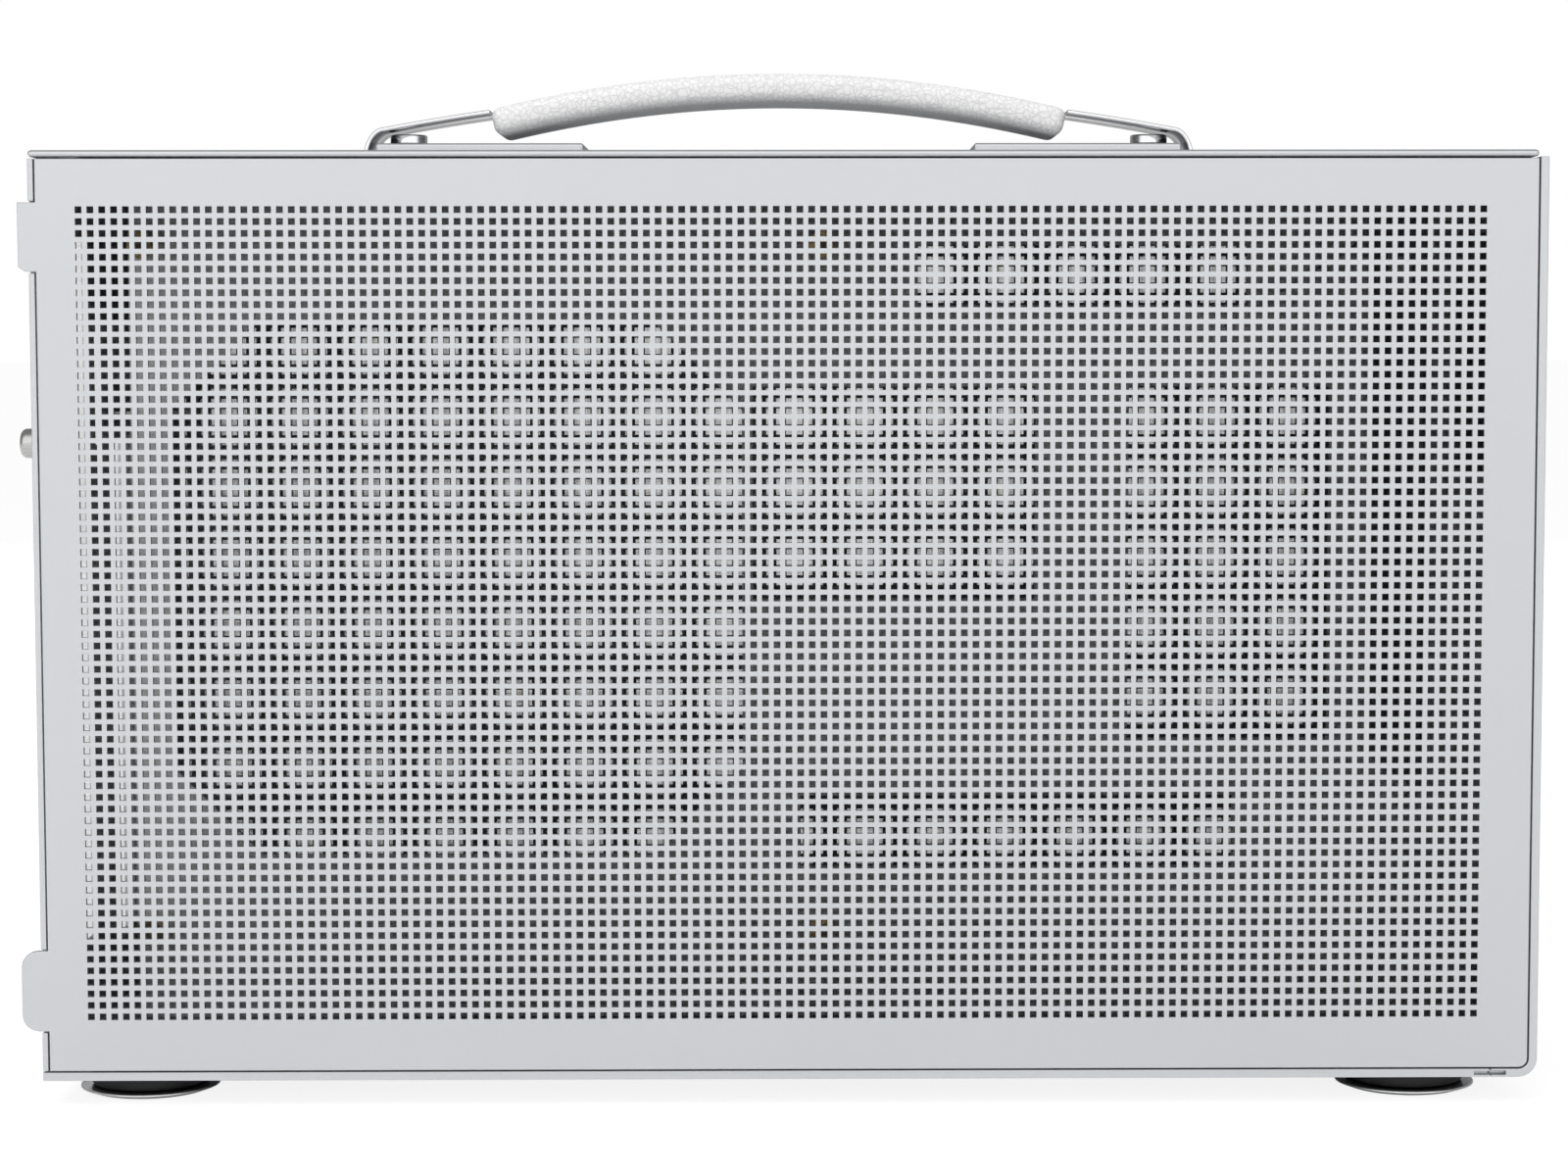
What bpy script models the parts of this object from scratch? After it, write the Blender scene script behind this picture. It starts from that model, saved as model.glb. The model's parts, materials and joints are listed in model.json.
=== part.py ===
"""Compact computer case: a shell of thin plates, two pull-off side panels, round feet and a strap handle.

Run with: blender --background --python part.py
X runs along the case, rear at -X and front at +X. Y is its depth, with the motherboard side at -Y. Z is up.
The origin lies under the middle of the whole object, on the surface that it stands on.
"""

import math

import bmesh
import bpy
from mathutils import Vector

MM = 0.001

# Overall sizes, in millimetres.
BODY_LENGTH = 322.0
BODY_DEPTH = 125.0
BODY_HEIGHT = 199.0
FOOT_HEIGHT = 6.0

# Sheet thicknesses.
TOP_T = 1.5
WRAP_T = 1.8
REAR_T = 1.2
PANEL_T = 1.2
TRAY_T = 1.5
BRACKET_T = 1.5
BOARD_T = 1.6

# Clearances.
GAP = 0.3
HOLE_CLEARANCE = 0.3

# Faces of the shell, worked out from the sizes above.
REAR_X = -BODY_LENGTH / 2
FRONT_X = BODY_LENGTH / 2
NEAR_Y = -BODY_DEPTH / 2
FAR_Y = BODY_DEPTH / 2
FLOOR_Z = FOOT_HEIGHT
TOP_Z = FOOT_HEIGHT + BODY_HEIGHT
IN_REAR_X = REAR_X + REAR_T + GAP
IN_FRONT_X = FRONT_X - WRAP_T - GAP
IN_FLOOR_Z = FLOOR_Z + WRAP_T + GAP
IN_TOP_Z = TOP_Z - TOP_T - GAP

# The bend at the foot of the front plate.
BEND_R = 4.0
BEND_RETURN = 10.0
BEND_STEPS = 5
LIP_SLOT_FRONT = 6.7
LIP_SLOT_LENGTH = 6.9
LIP_SLOT_RISE = 0.45
LIP_SLOT_H = 0.85
LIP_SLOT_DEPTH = 2.0

# The panels' two tabs at the rear: a square one near the top and a round finger pull near the bottom.
TAB_REACH = 2.3
TAB_HEIGHT = 14.6
TAB_DROP = 18.3
PULL_REACH = 4.2
PULL_HEIGHT = 17.5
PULL_RISE = 19.5
PULL_CORNER = 3.6
TAB_CHAMFER_H = 1.0
TAB_CHAMFER_L = 1.5

# Ball studs of the panels, and the rails that hold them.
RAIL_SIZE = 8.0
RAIL_END = 10.0
STUD_INSET = 16.0
BALL_R = 2.8
NECK_R = 1.6
STUD_FLANGE_R = 3.6
STUD_REACH = 7.4
STUD_FLANGE_T = 1.0

# Dust filters, which lie on the inner faces of the side panels.
FILTER_T = 0.4
FILTER_END_INSET = 6.0
FILTER_FRONT_INSET = 9.0
FILTER_EDGE_GAP = 0.5

# Motherboard bay.
HOLES_ALONG_X = 154.94
HOLES_ALONG_Z = 157.48
HOLE_FROM_EDGE = 10.16
BOARD_REAR_SETBACK = 3.0
BOARD_CENTRE_RISE = 102.0
STANDOFF_H = 6.35
STANDOFF_ACROSS = 5.5
IO_WIDTH = 44.45
IO_HEIGHT = 158.75
IO_LIP = 2.2
TRAY_INSET = 60.25
TRAY_FACE_Y = NEAR_Y + TRAY_INSET
TRAY_REAR_SETBACK = 8.0
OCTAGON_LENGTH = 131.0
OCTAGON_HEIGHT = 122.8
OCTAGON_CORNER = 20.0
OCTAGON_REAR_SETBACK = 18.8
OCTAGON_RISE = 40.2

# Expansion slots in the rear plate, on the far side of the tray.
SLOT_PITCH = 20.32
SLOT_WIDTH = 13.4
SLOT_HEIGHT = 118.0
SLOT_RISE = 18.0
SLOT_FIRST_OFFSET = 25.45
SLOT_FIRST_Y = TRAY_FACE_Y + TRAY_T + SLOT_FIRST_OFFSET
SLOT_COVER_LAP = 2.0
SLOT_COVER_FOOT = 3.0
SLOT_COVER_T = 1.0
SHELF_REACH = 13.0
SHELF_T = 2.0
CLAMP_T = 2.0
THUMB_R = 5.0
THUMB_H = 6.0
THUMB_CHAMFER = 0.6
THUMB_SHANK_PAST = 3.0
THREAD_R = 1.5

# Mains inlet and cable opening in the rear plate.
INLET_WIDTH = 27.0
INLET_HEIGHT = 19.8
INLET_FLANGE_W = 38.0
INLET_FLANGE_H = 26.0
INLET_FLANGE_T = 2.0
INLET_DEPTH = 20.0
INLET_PINS = ((-7.0, 2.0), (0.0, -2.0), (7.0, 2.0))
INLET_PIN_LENGTH = 15.0
INLET_PIN_WIDTH = 2.0
INLET_PIN_HEIGHT = 4.0
INLET_WALL = 2.0
INLET_INSET = 29.5
INLET_Y = FAR_Y - INLET_INSET
INLET_DROP = 26.0
CABLE_SLOT_OFFSET = 4.75
CABLE_SLOT_Y = TRAY_FACE_Y + TRAY_T + CABLE_SLOT_OFFSET
CABLE_SLOT_WIDTH = 9.0
CABLE_SLOT_HEIGHT = 28.0
CABLE_SLOT_DROP = 50.0

# Screws in the rear plate, near its two upright edges.
REAR_SCREW_R = 3.15
REAR_SCREW_H = 3.0
REAR_SCREW_ROUND = 0.6
REAR_SCREW_SHANK = 4.0
REAR_SCREW_DROP = 62.0
REAR_SCREW_INSET = 5.5

# Power supply bracket.
PSU_SETBACK = 27.0
PSU_FACE_X = FRONT_X - PSU_SETBACK
PSU_HEIGHT = 125.0
PSU_WINDOW_MARGIN = 9.0
PSU_TOP_DROP = 11.5
PSU_FLANGE = 12.0
PSU_SIDE_GAP = 1.3

# Riser of the graphics card.
RISER_SETBACK = 73.0
RISER_REAR_X = REAR_X + RISER_SETBACK
RISER_LENGTH = 100.0
RISER_WIDTH = 26.0
RISER_RISE = 10.0
RISER_SLOT_LENGTH = 89.5
RISER_SLOT_WIDTH = 7.5
RISER_SLOT_HEIGHT = 11.0
RISER_GROOVE = 2.0
RISER_GROOVE_DEPTH = 8.0
RISER_GROOVE_END = 2.0

# Front controls, in front of the motherboard bay.
CONTROL_INSET = 30.5
CONTROL_SETBACK = 11.0
CONTROL_Y = NEAR_Y + CONTROL_INSET
CONTROL_BOARD_X = FRONT_X - CONTROL_SETBACK
CONTROL_BOARD_WIDTH = 28.0
CONTROL_BOARD_MARGIN = 7.0
BUTTON_DROP = 24.0
BUTTON_R = 7.0
BUTTON_PROUD = 1.0
BUTTON_TRAVEL = 1.2
BUTTON_FLANGE = 1.6
BUTTON_FLANGE_T = 1.2
RING_WALL = 1.6
RING_PROUD = 0.3
SWITCH_SIZE = 6.0
PLUNGER_R = 1.6
PLUNGER_REACH = 0.8
PLUNGER_ROOT = 1.0
USB_A_DROP = 48.0
USB_A_WIDTH = 13.2
USB_A_HEIGHT = 5.8
USB_C_DROP = 62.0
USB_C_WIDTH = 9.0
USB_C_HEIGHT = 3.3
USB_WALL = 0.5
USB_TONGUE_W = 0.8
USB_TONGUE_H = 0.24
USB_DEPTH = 7.0
USB_RECESS = 0.4
USB_TONGUE_BACK = 1.0
USB_TONGUE_RECESS = 1.0

# Feet.
FOOT_REAR_INSET = 19.3
FOOT_FRONT_INSET = 25.1
FOOT_INSET = 21.0
FOOT_RING_R = 15.2
FOOT_RING_LOW_R = 13.0
FOOT_RING_LOW = 0.3
FOOT_RING_H = 1.3
FOOT_RING_EDGE = 0.3
FOOT_PAD_R = 13.2
FOOT_NECK_R = 10.0
FOOT_RECESS_R = 4.0
FOOT_RECESS = 1.2
FOOT_PEG_R = 2.0
FOOT_PEG_H = 2.8

# Handle. Lengths along X are counted from its middle, and rises from the top plate.
HANDLE_X = -2.5
GRIP_LENGTH = 128.0
GRIP_WIDTH = 25.0
GRIP_T = 6.5
GRIP_RISE = 16.75
GRIP_END_RISE = 8.77
BAND_T = 1.0
BAND_WIDTH = 20.0
BAND_RISE = 15.95
BAND_END_RISE = 7.53
BASE_UNDER_GRIP = 20.0
BASE_PAST_GRIP = 27.0
BASE_WIDTH = 25.0
BASE_T = 4.0
BOSS_PAST_GRIP = 20.7
BOSS_R = 4.2
BAND_FLAT_PAST_GRIP = 25.2
BAND_CURL = 4.3

# Vents in the floor: where each starts and ends, counted from the rear face.
FLOOR_VENTS = ((43.0, 69.0), (199.0, 219.0), (227.0, 274.0), (289.0, 307.0))
VENT_OFFSET = 3.25
VENT_WIDTH = 19.5

# Windows of the tray beside the octagon, as rear and front edges from the rear face, then low and high edges
# above the floor.
TRAY_WINDOWS = (
    (152.4, 217.3, 99.5, 148.2),
    (190.3, 265.9, 167.0, 180.6),
    (238.9, 285.0, 67.1, 148.2),
    (163.2, 263.2, 37.3, 53.6),
    (299.5, 314.6, 177.9, 186.0),
)

# Name, colour, roughness and metallic value of each material.
MATERIALS = {
    "anodised": ((0.66, 0.67, 0.68, 1.0), 0.42, 0.85),
    "edge": ((0.80, 0.80, 0.81, 1.0), 0.25, 1.0),
    "frame": ((0.45, 0.46, 0.47, 1.0), 0.45, 0.8),
    "steel": ((0.62, 0.62, 0.62, 1.0), 0.30, 1.0),
    "brass": ((0.72, 0.55, 0.28, 1.0), 0.30, 1.0),
    "black_plastic": ((0.02, 0.02, 0.02, 1.0), 0.50, 0.0),
    "circuit": ((0.02, 0.05, 0.03, 1.0), 0.50, 0.0),
    "rubber": ((0.012, 0.012, 0.012, 1.0), 0.75, 0.0),
    "leather": ((0.62, 0.62, 0.61, 1.0), 0.62, 0.0),
    "mesh": ((0.03, 0.03, 0.03, 1.0), 0.6, 0.0),
}


def clear_scene():
    """Empties the file of its starting objects."""
    for thing in list(bpy.data.objects):
        bpy.data.objects.remove(thing, do_unlink=True)


def new_collection(name):
    """A collection linked to the scene."""
    made = bpy.data.collections.new(name)
    bpy.context.scene.collection.children.link(made)
    return made


def make_materials():
    """One Principled material for each entry of MATERIALS."""
    made = {}
    for name, (colour, roughness, metallic) in MATERIALS.items():
        material = bpy.data.materials.new(name)
        material.use_nodes = True
        shader = material.node_tree.nodes["Principled BSDF"]
        shader.inputs["Base Color"].default_value = colour
        shader.inputs["Roughness"].default_value = roughness
        shader.inputs["Metallic"].default_value = metallic
        material.diffuse_color = colour
        made[name] = material
    return made


clear_scene()
CASE = new_collection("computer_case")
CUTTERS = new_collection("cutters")
MATERIAL = make_materials()


def place_in(thing, collection):
    """Moves an object into one collection."""
    for old in list(thing.users_collection):
        old.objects.unlink(thing)
    collection.objects.link(thing)


def finish(thing, name, material):
    """Names a part, files it and gives it a copy of its material."""
    thing.name = name
    thing.data.name = name
    place_in(thing, CASE)
    own = MATERIAL[material].copy()
    own.name = name + "_" + material
    thing.data.materials.clear()
    thing.data.materials.append(own)
    return thing


def hide_cutter(thing, name):
    """Files an object as a cutter that is only drawn as wires."""
    thing.name = name
    place_in(thing, CUTTERS)
    thing.hide_render = True
    thing.display_type = "WIRE"
    return thing


def box(low, high):
    """A box between two corners, given in millimetres."""
    centre = [(a + b) / 2 * MM for a, b in zip(low, high)]
    size = [(b - a) * MM for a, b in zip(low, high)]
    bpy.ops.mesh.primitive_cube_add(size=1.0, location=centre)
    made = bpy.context.object
    made.scale = size
    bpy.ops.object.transform_apply(location=False, rotation=False, scale=True)
    return made


def cylinder(centre, axis, radius, length, sides=32):
    """A cylinder along one axis letter, centred on a point."""
    turns = {"X": (0, math.pi / 2, 0), "Y": (math.pi / 2, 0, 0), "Z": (0, 0, 0)}
    bpy.ops.mesh.primitive_cylinder_add(
        vertices=sides,
        radius=radius * MM,
        depth=length * MM,
        location=[value * MM for value in centre],
        rotation=turns[axis],
    )
    return bpy.context.object


def curve_to_mesh(thing):
    """Turns a filled curve into one welded mesh object."""
    graph = bpy.context.evaluated_depsgraph_get()
    mesh = bpy.data.meshes.new_from_object(thing.evaluated_get(graph))
    shape = bmesh.new()
    shape.from_mesh(mesh)
    bmesh.ops.remove_doubles(shape, verts=shape.verts, dist=0.00001)
    bmesh.ops.recalc_face_normals(shape, faces=shape.faces)
    shape.to_mesh(mesh)
    shape.free()
    made = bpy.data.objects.new("outline", mesh)
    made.matrix_world = thing.matrix_world.copy()
    bpy.context.scene.collection.objects.link(made)
    bpy.data.objects.remove(thing, do_unlink=True)
    return made


def outline(points, low, high, facing="Y"):
    """A flat outline in XZ, or in YZ when it faces X, given thickness between two values of its axis."""
    curve = bpy.data.curves.new("outline", "CURVE")
    curve.dimensions = "2D"
    curve.fill_mode = "BOTH"
    curve.extrude = (high - low) / 2 * MM
    spline = curve.splines.new("POLY")
    spline.points.add(len(points) - 1)
    for point, (across, up) in zip(spline.points, points):
        point.co = (across * MM, up * MM, 0, 1)
    spline.use_cyclic_u = True
    made = bpy.data.objects.new("outline", curve)
    bpy.context.scene.collection.objects.link(made)
    middle = (low + high) / 2 * MM
    if facing == "Y":
        made.location = (0, middle, 0)
        made.rotation_euler = (math.pi / 2, 0, 0)
    else:
        made.location = (middle, 0, 0)
        made.rotation_euler = (math.pi / 2, 0, math.pi / 2)
    bpy.context.view_layer.update()
    return curve_to_mesh(made)


def turned(profile, centre, axis, steps=32):
    """A solid turned about an axis letter. The profile lists radius and height, from its top down."""
    mesh = bpy.data.meshes.new("profile")
    corners = [(radius * MM, 0, height * MM) for radius, height in profile]
    mesh.from_pydata(corners, [(i, i + 1) for i in range(len(corners) - 1)], [])
    made = bpy.data.objects.new("profile", mesh)
    bpy.context.scene.collection.objects.link(made)
    screw = made.modifiers.new("turn", "SCREW")
    screw.steps = steps
    screw.render_steps = steps
    screw.use_merge_vertices = True
    screw.merge_threshold = 0.00001
    screw.use_smooth_shade = True
    made.location = [value * MM for value in centre]
    turns = {"+Z": (0, 0, 0), "-Z": (math.pi, 0, 0), "+Y": (-math.pi / 2, 0, 0), "-Y": (math.pi / 2, 0, 0)}
    made.rotation_euler = turns[axis]
    return made


def subtract(thing, cutter, name):
    """Cuts one object out of another with a Boolean modifier."""
    hide_cutter(cutter, name)
    modifier = thing.modifiers.new(name, "BOOLEAN")
    modifier.operation = "DIFFERENCE"
    modifier.solver = "EXACT"
    modifier.object = cutter
    return cutter


def join(thing, added, name):
    """Joins a second solid to an object with a Boolean modifier."""
    hide_cutter(added, name)
    modifier = thing.modifiers.new(name, "BOOLEAN")
    modifier.operation = "UNION"
    modifier.solver = "EXACT"
    modifier.object = added
    return added


def smooth(thing):
    """Shades the round faces of an object smooth."""
    thing.data.shade_smooth()
    thing.data.set_sharp_from_angle(angle=math.radians(35))
    return thing


def arc(centre, radius, start, end, steps):
    """Points of an arc, with angles in degrees."""
    angles = [math.radians(start + (end - start) * i / steps) for i in range(steps + 1)]
    return [(centre[0] + radius * math.cos(a), centre[1] + radius * math.sin(a)) for a in angles]


# Shell plates.
def top_plate():
    """Flat top, carried over the rear plate and stopping short of the front plate."""
    plate = box((REAR_X, NEAR_Y, TOP_Z - TOP_T), (IN_FRONT_X, FAR_Y, TOP_Z))
    return finish(plate, "top_plate", "anodised")


def front_plate():
    """Front plate with its lower end bent back under the floor's edge, and holes for the controls."""
    bend = (FRONT_X - BEND_R, FLOOR_Z + BEND_R)
    outer = arc(bend, BEND_R, 0, -90, BEND_STEPS)
    inner = arc(bend, BEND_R - WRAP_T, -90, 0, BEND_STEPS)
    head = TOP_Z - TOP_T
    points = [(FRONT_X - WRAP_T, head), (FRONT_X, head)]
    points += outer
    points += [(FRONT_X - BEND_RETURN, FLOOR_Z), (FRONT_X - BEND_RETURN, FLOOR_Z + WRAP_T)]
    points += inner
    plate = outline(points, NEAR_Y, FAR_Y)
    place = (FRONT_X, CONTROL_Y, TOP_Z - BUTTON_DROP)
    button_hole = cylinder(place, "X", BUTTON_R + RING_WALL + 2 * GAP, 20)
    subtract(plate, button_hole, "button_hole")
    for name, drop, width, height in (
        ("usb_a_hole", USB_A_DROP, USB_A_WIDTH, USB_A_HEIGHT),
        ("usb_c_hole", USB_C_DROP, USB_C_WIDTH, USB_C_HEIGHT),
    ):
        w, h = width / 2 + GAP, height / 2 + GAP
        z = TOP_Z - drop
        hole = box((FRONT_X - 10, CONTROL_Y - w, z - h), (FRONT_X + 10, CONTROL_Y + w, z + h))
        subtract(plate, hole, name)
    cut_lip_slots(plate, "front")
    return finish(plate, "front_plate", "anodised")


def cut_lip_slots(plate, word):
    """A narrow slot in both lower edges of the shell, where the floor meets the front plate."""
    front = FRONT_X - LIP_SLOT_FRONT
    low = FLOOR_Z + LIP_SLOT_RISE
    for side, side_word in ((-1, "near"), (1, "far")):
        edges = sorted((side * (BODY_DEPTH / 2 - LIP_SLOT_DEPTH), side * BODY_DEPTH))
        slot = box((front - LIP_SLOT_LENGTH, edges[0], low), (front, edges[1], low + LIP_SLOT_H))
        subtract(plate, slot, "lip_slot_%s_%s" % (word, side_word))


def bottom_plate():
    """Floor with its vents, its foot holes and a slot in each edge near the front."""
    plate = box((REAR_X, NEAR_Y, FLOOR_Z), (FRONT_X - BEND_RETURN - GAP, FAR_Y, FLOOR_Z + WRAP_T))
    for number, (rear, front) in enumerate(FLOOR_VENTS):
        near = TRAY_FACE_Y + TRAY_T + VENT_OFFSET
        vent = box((REAR_X + rear, near, FLOOR_Z - 5), (REAR_X + front, near + VENT_WIDTH, FLOOR_Z + 5))
        subtract(plate, vent, "floor_vent_%d" % number)
    for number, (x, y) in enumerate(foot_places()):
        hole = cylinder((x, y, FLOOR_Z), "Z", FOOT_PEG_R + HOLE_CLEARANCE, 10, 20)
        subtract(plate, hole, "foot_hole_%d" % number)
    cut_lip_slots(plate, "floor")
    return finish(plate, "bottom_plate", "anodised")


def io_span():
    """Low and high edges of the input and output cut-out in Y."""
    board_face = TRAY_FACE_Y - STANDOFF_H - BOARD_T
    return board_face + IO_LIP - IO_WIDTH, board_face + IO_LIP


def board_centre_z():
    """Height of the motherboard's middle."""
    return FLOOR_Z + BOARD_CENTRE_RISE


def panel_tab_spans():
    """Low and high ends of the square tab and of the finger pull."""
    tab = (TOP_Z - TAB_DROP - TAB_HEIGHT / 2, TOP_Z - TAB_DROP + TAB_HEIGHT / 2)
    pull = (FLOOR_Z + PULL_RISE - PULL_HEIGHT / 2, FLOOR_Z + PULL_RISE + PULL_HEIGHT / 2)
    return tab, pull


def slot_centres():
    """Middle of each expansion slot in Y."""
    return (SLOT_FIRST_Y, SLOT_FIRST_Y + SLOT_PITCH)


def rear_plate():
    """Rear plate with its cut-outs and the four notches that the panels' tabs pass."""
    plate = box((REAR_X, NEAR_Y, IN_FLOOR_Z), (REAR_X + REAR_T, FAR_Y, IN_TOP_Z))
    near, far = io_span()
    low = board_centre_z() - IO_HEIGHT / 2
    subtract(plate, box((REAR_X - 5, near, low), (REAR_X + 5, far, low + IO_HEIGHT)), "io_hole")
    for number, y in enumerate(slot_centres()):
        low = FLOOR_Z + SLOT_RISE
        half = SLOT_WIDTH / 2
        hole = box((REAR_X - 5, y - half, low), (REAR_X + 5, y + half, low + SLOT_HEIGHT))
        subtract(plate, hole, "slot_hole_%d" % number)
    half_w = INLET_WIDTH / 2 + GAP
    half_h = INLET_HEIGHT / 2 + GAP
    middle = TOP_Z - INLET_DROP
    hole_low = (REAR_X - 5, INLET_Y - half_w, middle - half_h)
    hole = box(hole_low, (REAR_X + 5, INLET_Y + half_w, middle + half_h))
    subtract(plate, hole, "inlet_hole")
    top = TOP_Z - CABLE_SLOT_DROP + CABLE_SLOT_HEIGHT / 2
    half_w = CABLE_SLOT_WIDTH / 2
    hole_low = (REAR_X - 5, CABLE_SLOT_Y - half_w, top - CABLE_SLOT_HEIGHT)
    hole = box(hole_low, (REAR_X + 5, CABLE_SLOT_Y + half_w, top))
    subtract(plate, hole, "cable_hole")
    for side in (-1, 1):
        for word, (low, high) in zip(("tab", "pull"), panel_tab_spans()):
            inner = side * (BODY_DEPTH / 2 - PANEL_T - GAP)
            outer = side * (BODY_DEPTH / 2 + 5)
            edges = sorted((inner, outer))
            notch = box((REAR_X - 5, edges[0], low - GAP), (REAR_X + 5, edges[1], high + GAP))
            subtract(plate, notch, "notch_%s_%s" % (word, "near" if side < 0 else "far"))
        y = side * (BODY_DEPTH / 2 - REAR_SCREW_INSET)
        hole = cylinder((REAR_X, y, TOP_Z - REAR_SCREW_DROP), "X", THREAD_R + HOLE_CLEARANCE, 10, 16)
        subtract(plate, hole, "rear_screw_hole_%s" % ("near" if side < 0 else "far"))
    return finish(plate, "rear_plate", "anodised")


# Side panels, with their tabs and ball studs.
def panel_outline():
    """Outline of a side panel in XZ, with the square tab and the finger pull at its rear edge."""
    (tab_low, tab_high), (pull_low, pull_high) = panel_tab_spans()
    edge = IN_REAR_X
    tab_x = REAR_X - TAB_REACH
    pull_x = REAR_X - PULL_REACH
    low = IN_FLOOR_Z
    high = IN_TOP_Z
    bend = (FRONT_X - BEND_R, FLOOR_Z + BEND_R)
    points = arc(bend, BEND_R - WRAP_T - GAP, -90, 0, BEND_STEPS) + [(IN_FRONT_X, high), (edge, high)]
    points += [(edge, tab_high), (tab_x, tab_high), (tab_x, tab_low + TAB_CHAMFER_H)]
    points += [(tab_x + TAB_CHAMFER_L, tab_low), (edge, tab_low)]
    points += [(edge, pull_high)]
    upper = (pull_x + PULL_CORNER, pull_high - PULL_CORNER)
    lower = (pull_x + PULL_CORNER, pull_low + PULL_CORNER)
    points += arc(upper, PULL_CORNER, 90, 180, 4)
    points += arc(lower, PULL_CORNER, 180, 270, 4)
    points += [(edge, pull_low), (edge, low)]
    return points


def stud_places():
    """Where the four ball studs of a panel stand, in X and Z."""
    low = IN_FLOOR_Z + RAIL_SIZE / 2
    high = IN_TOP_Z - RAIL_SIZE / 2
    reach = BODY_LENGTH / 2 - STUD_INSET
    return [(x, z) for x in (-reach, reach) for z in (low, high)]


def side_panel(name, side):
    """A side panel with its outer face flush with the plates' edges."""
    outer = side * BODY_DEPTH / 2
    inner = side * (BODY_DEPTH / 2 - PANEL_T)
    panel = outline(panel_outline(), min(outer, inner), max(outer, inner))
    finish(panel, name + "_panel", "anodised")
    start = BODY_DEPTH / 2 - PANEL_T - GAP
    for number, (x, z) in enumerate(stud_places()):
        profile = ball_stud_profile()
        stud = turned(profile, (x, side * start, z), "-Y" if side > 0 else "+Y", 16)
        finish(stud, "%s_ball_stud_%d" % (name, number + 1), "steel")
    dust_filter(name, side)


def dust_filter(name, side):
    """Sheet of fine mesh on a panel's inner face, between the rails."""
    outer = side * (BODY_DEPTH / 2 - PANEL_T - GAP)
    inner = outer - side * FILTER_T
    margin = RAIL_SIZE + FILTER_EDGE_GAP
    low = (REAR_X + FILTER_END_INSET, min(outer, inner), IN_FLOOR_Z + margin)
    high = (FRONT_X - FILTER_FRONT_INSET, max(outer, inner), IN_TOP_Z - margin)
    finish(box(low, high), name + "_dust_filter", "mesh")


def ball_stud_profile():
    """Half section of a ball stud, from its round tip down to its flange."""
    centre = STUD_REACH - BALL_R
    join_angle = -math.degrees(math.acos(NECK_R / BALL_R))
    tip = arc((0, centre), BALL_R, 90, join_angle, 7)
    tip[0] = (0, STUD_REACH)
    return tip + [(NECK_R, STUD_FLANGE_T), (STUD_FLANGE_R, STUD_FLANGE_T), (STUD_FLANGE_R, 0), (0, 0)]


def rails():
    """Four square rails along the shell's long edges, each with a socket for a ball stud at both ends."""
    for side, side_word in ((-1, "near"), (1, "far")):
        outer = side * (BODY_DEPTH / 2 - PANEL_T - 2 * GAP - STUD_FLANGE_T)
        inner = side * (BODY_DEPTH / 2 - PANEL_T - 2 * GAP - STUD_FLANGE_T - RAIL_SIZE)
        for word, low in (("bottom", IN_FLOOR_Z), ("top", IN_TOP_Z - RAIL_SIZE)):
            name = "%s_%s_rail" % (side_word, word)
            end = BODY_LENGTH / 2 - RAIL_END
            rail = box((-end, min(outer, inner), low), (end, max(outer, inner), low + RAIL_SIZE))
            for number, x in enumerate((-(BODY_LENGTH / 2 - STUD_INSET), BODY_LENGTH / 2 - STUD_INSET)):
                place = (x, (outer + inner) / 2, low + RAIL_SIZE / 2)
                socket = cylinder(place, "Y", BALL_R + HOLE_CLEARANCE, RAIL_SIZE * 2, 20)
                subtract(rail, socket, "%s_socket_%d" % (name, number))
            finish(rail, name, "frame")


# Inside the shell.
def motherboard_tray():
    """Upright sheet between the two bays, with a large eight-sided opening and five smaller ones."""
    rear = IN_REAR_X + TRAY_REAR_SETBACK
    front = FRONT_X - BEND_R
    tray = box((rear, TRAY_FACE_Y, IN_FLOOR_Z), (front, TRAY_FACE_Y + TRAY_T, IN_TOP_Z))
    left = REAR_X + OCTAGON_REAR_SETBACK
    right = left + OCTAGON_LENGTH
    low = FLOOR_Z + OCTAGON_RISE
    high = low + OCTAGON_HEIGHT
    c = OCTAGON_CORNER
    points = [(left + c, low), (right - c, low), (right, low + c), (right, high - c)]
    points += [(right - c, high), (left + c, high), (left, high - c), (left, low + c)]
    subtract(tray, outline(points, TRAY_FACE_Y - 5, TRAY_FACE_Y + 5), "octagon")
    for number, (rear, front, low, high) in enumerate(TRAY_WINDOWS):
        near, far = TRAY_FACE_Y - 5, TRAY_FACE_Y + 5
        window = box((REAR_X + rear, near, FLOOR_Z + low), (REAR_X + front, far, FLOOR_Z + high))
        subtract(tray, window, "tray_window_%d" % number)
    return finish(tray, "motherboard_tray", "frame")


def standoffs():
    """Four hexagonal standoffs at the motherboard's mounting holes."""
    first_x = REAR_X + BOARD_REAR_SETBACK + HOLE_FROM_EDGE
    number = 0
    for x in (first_x, first_x + HOLES_ALONG_X):
        for side in (-1, 1):
            number += 1
            z = board_centre_z() + side * HOLES_ALONG_Z / 2
            length = STANDOFF_H - GAP
            place = (x, TRAY_FACE_Y - GAP - length / 2, z)
            post = cylinder(place, "Y", STANDOFF_ACROSS / math.sqrt(3), length, 6)
            hole = cylinder(place, "Y", THREAD_R, length * 3, 16)
            subtract(post, hole, "standoff_thread_%d" % number)
            finish(post, "standoff_%d" % number, "brass")


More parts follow.
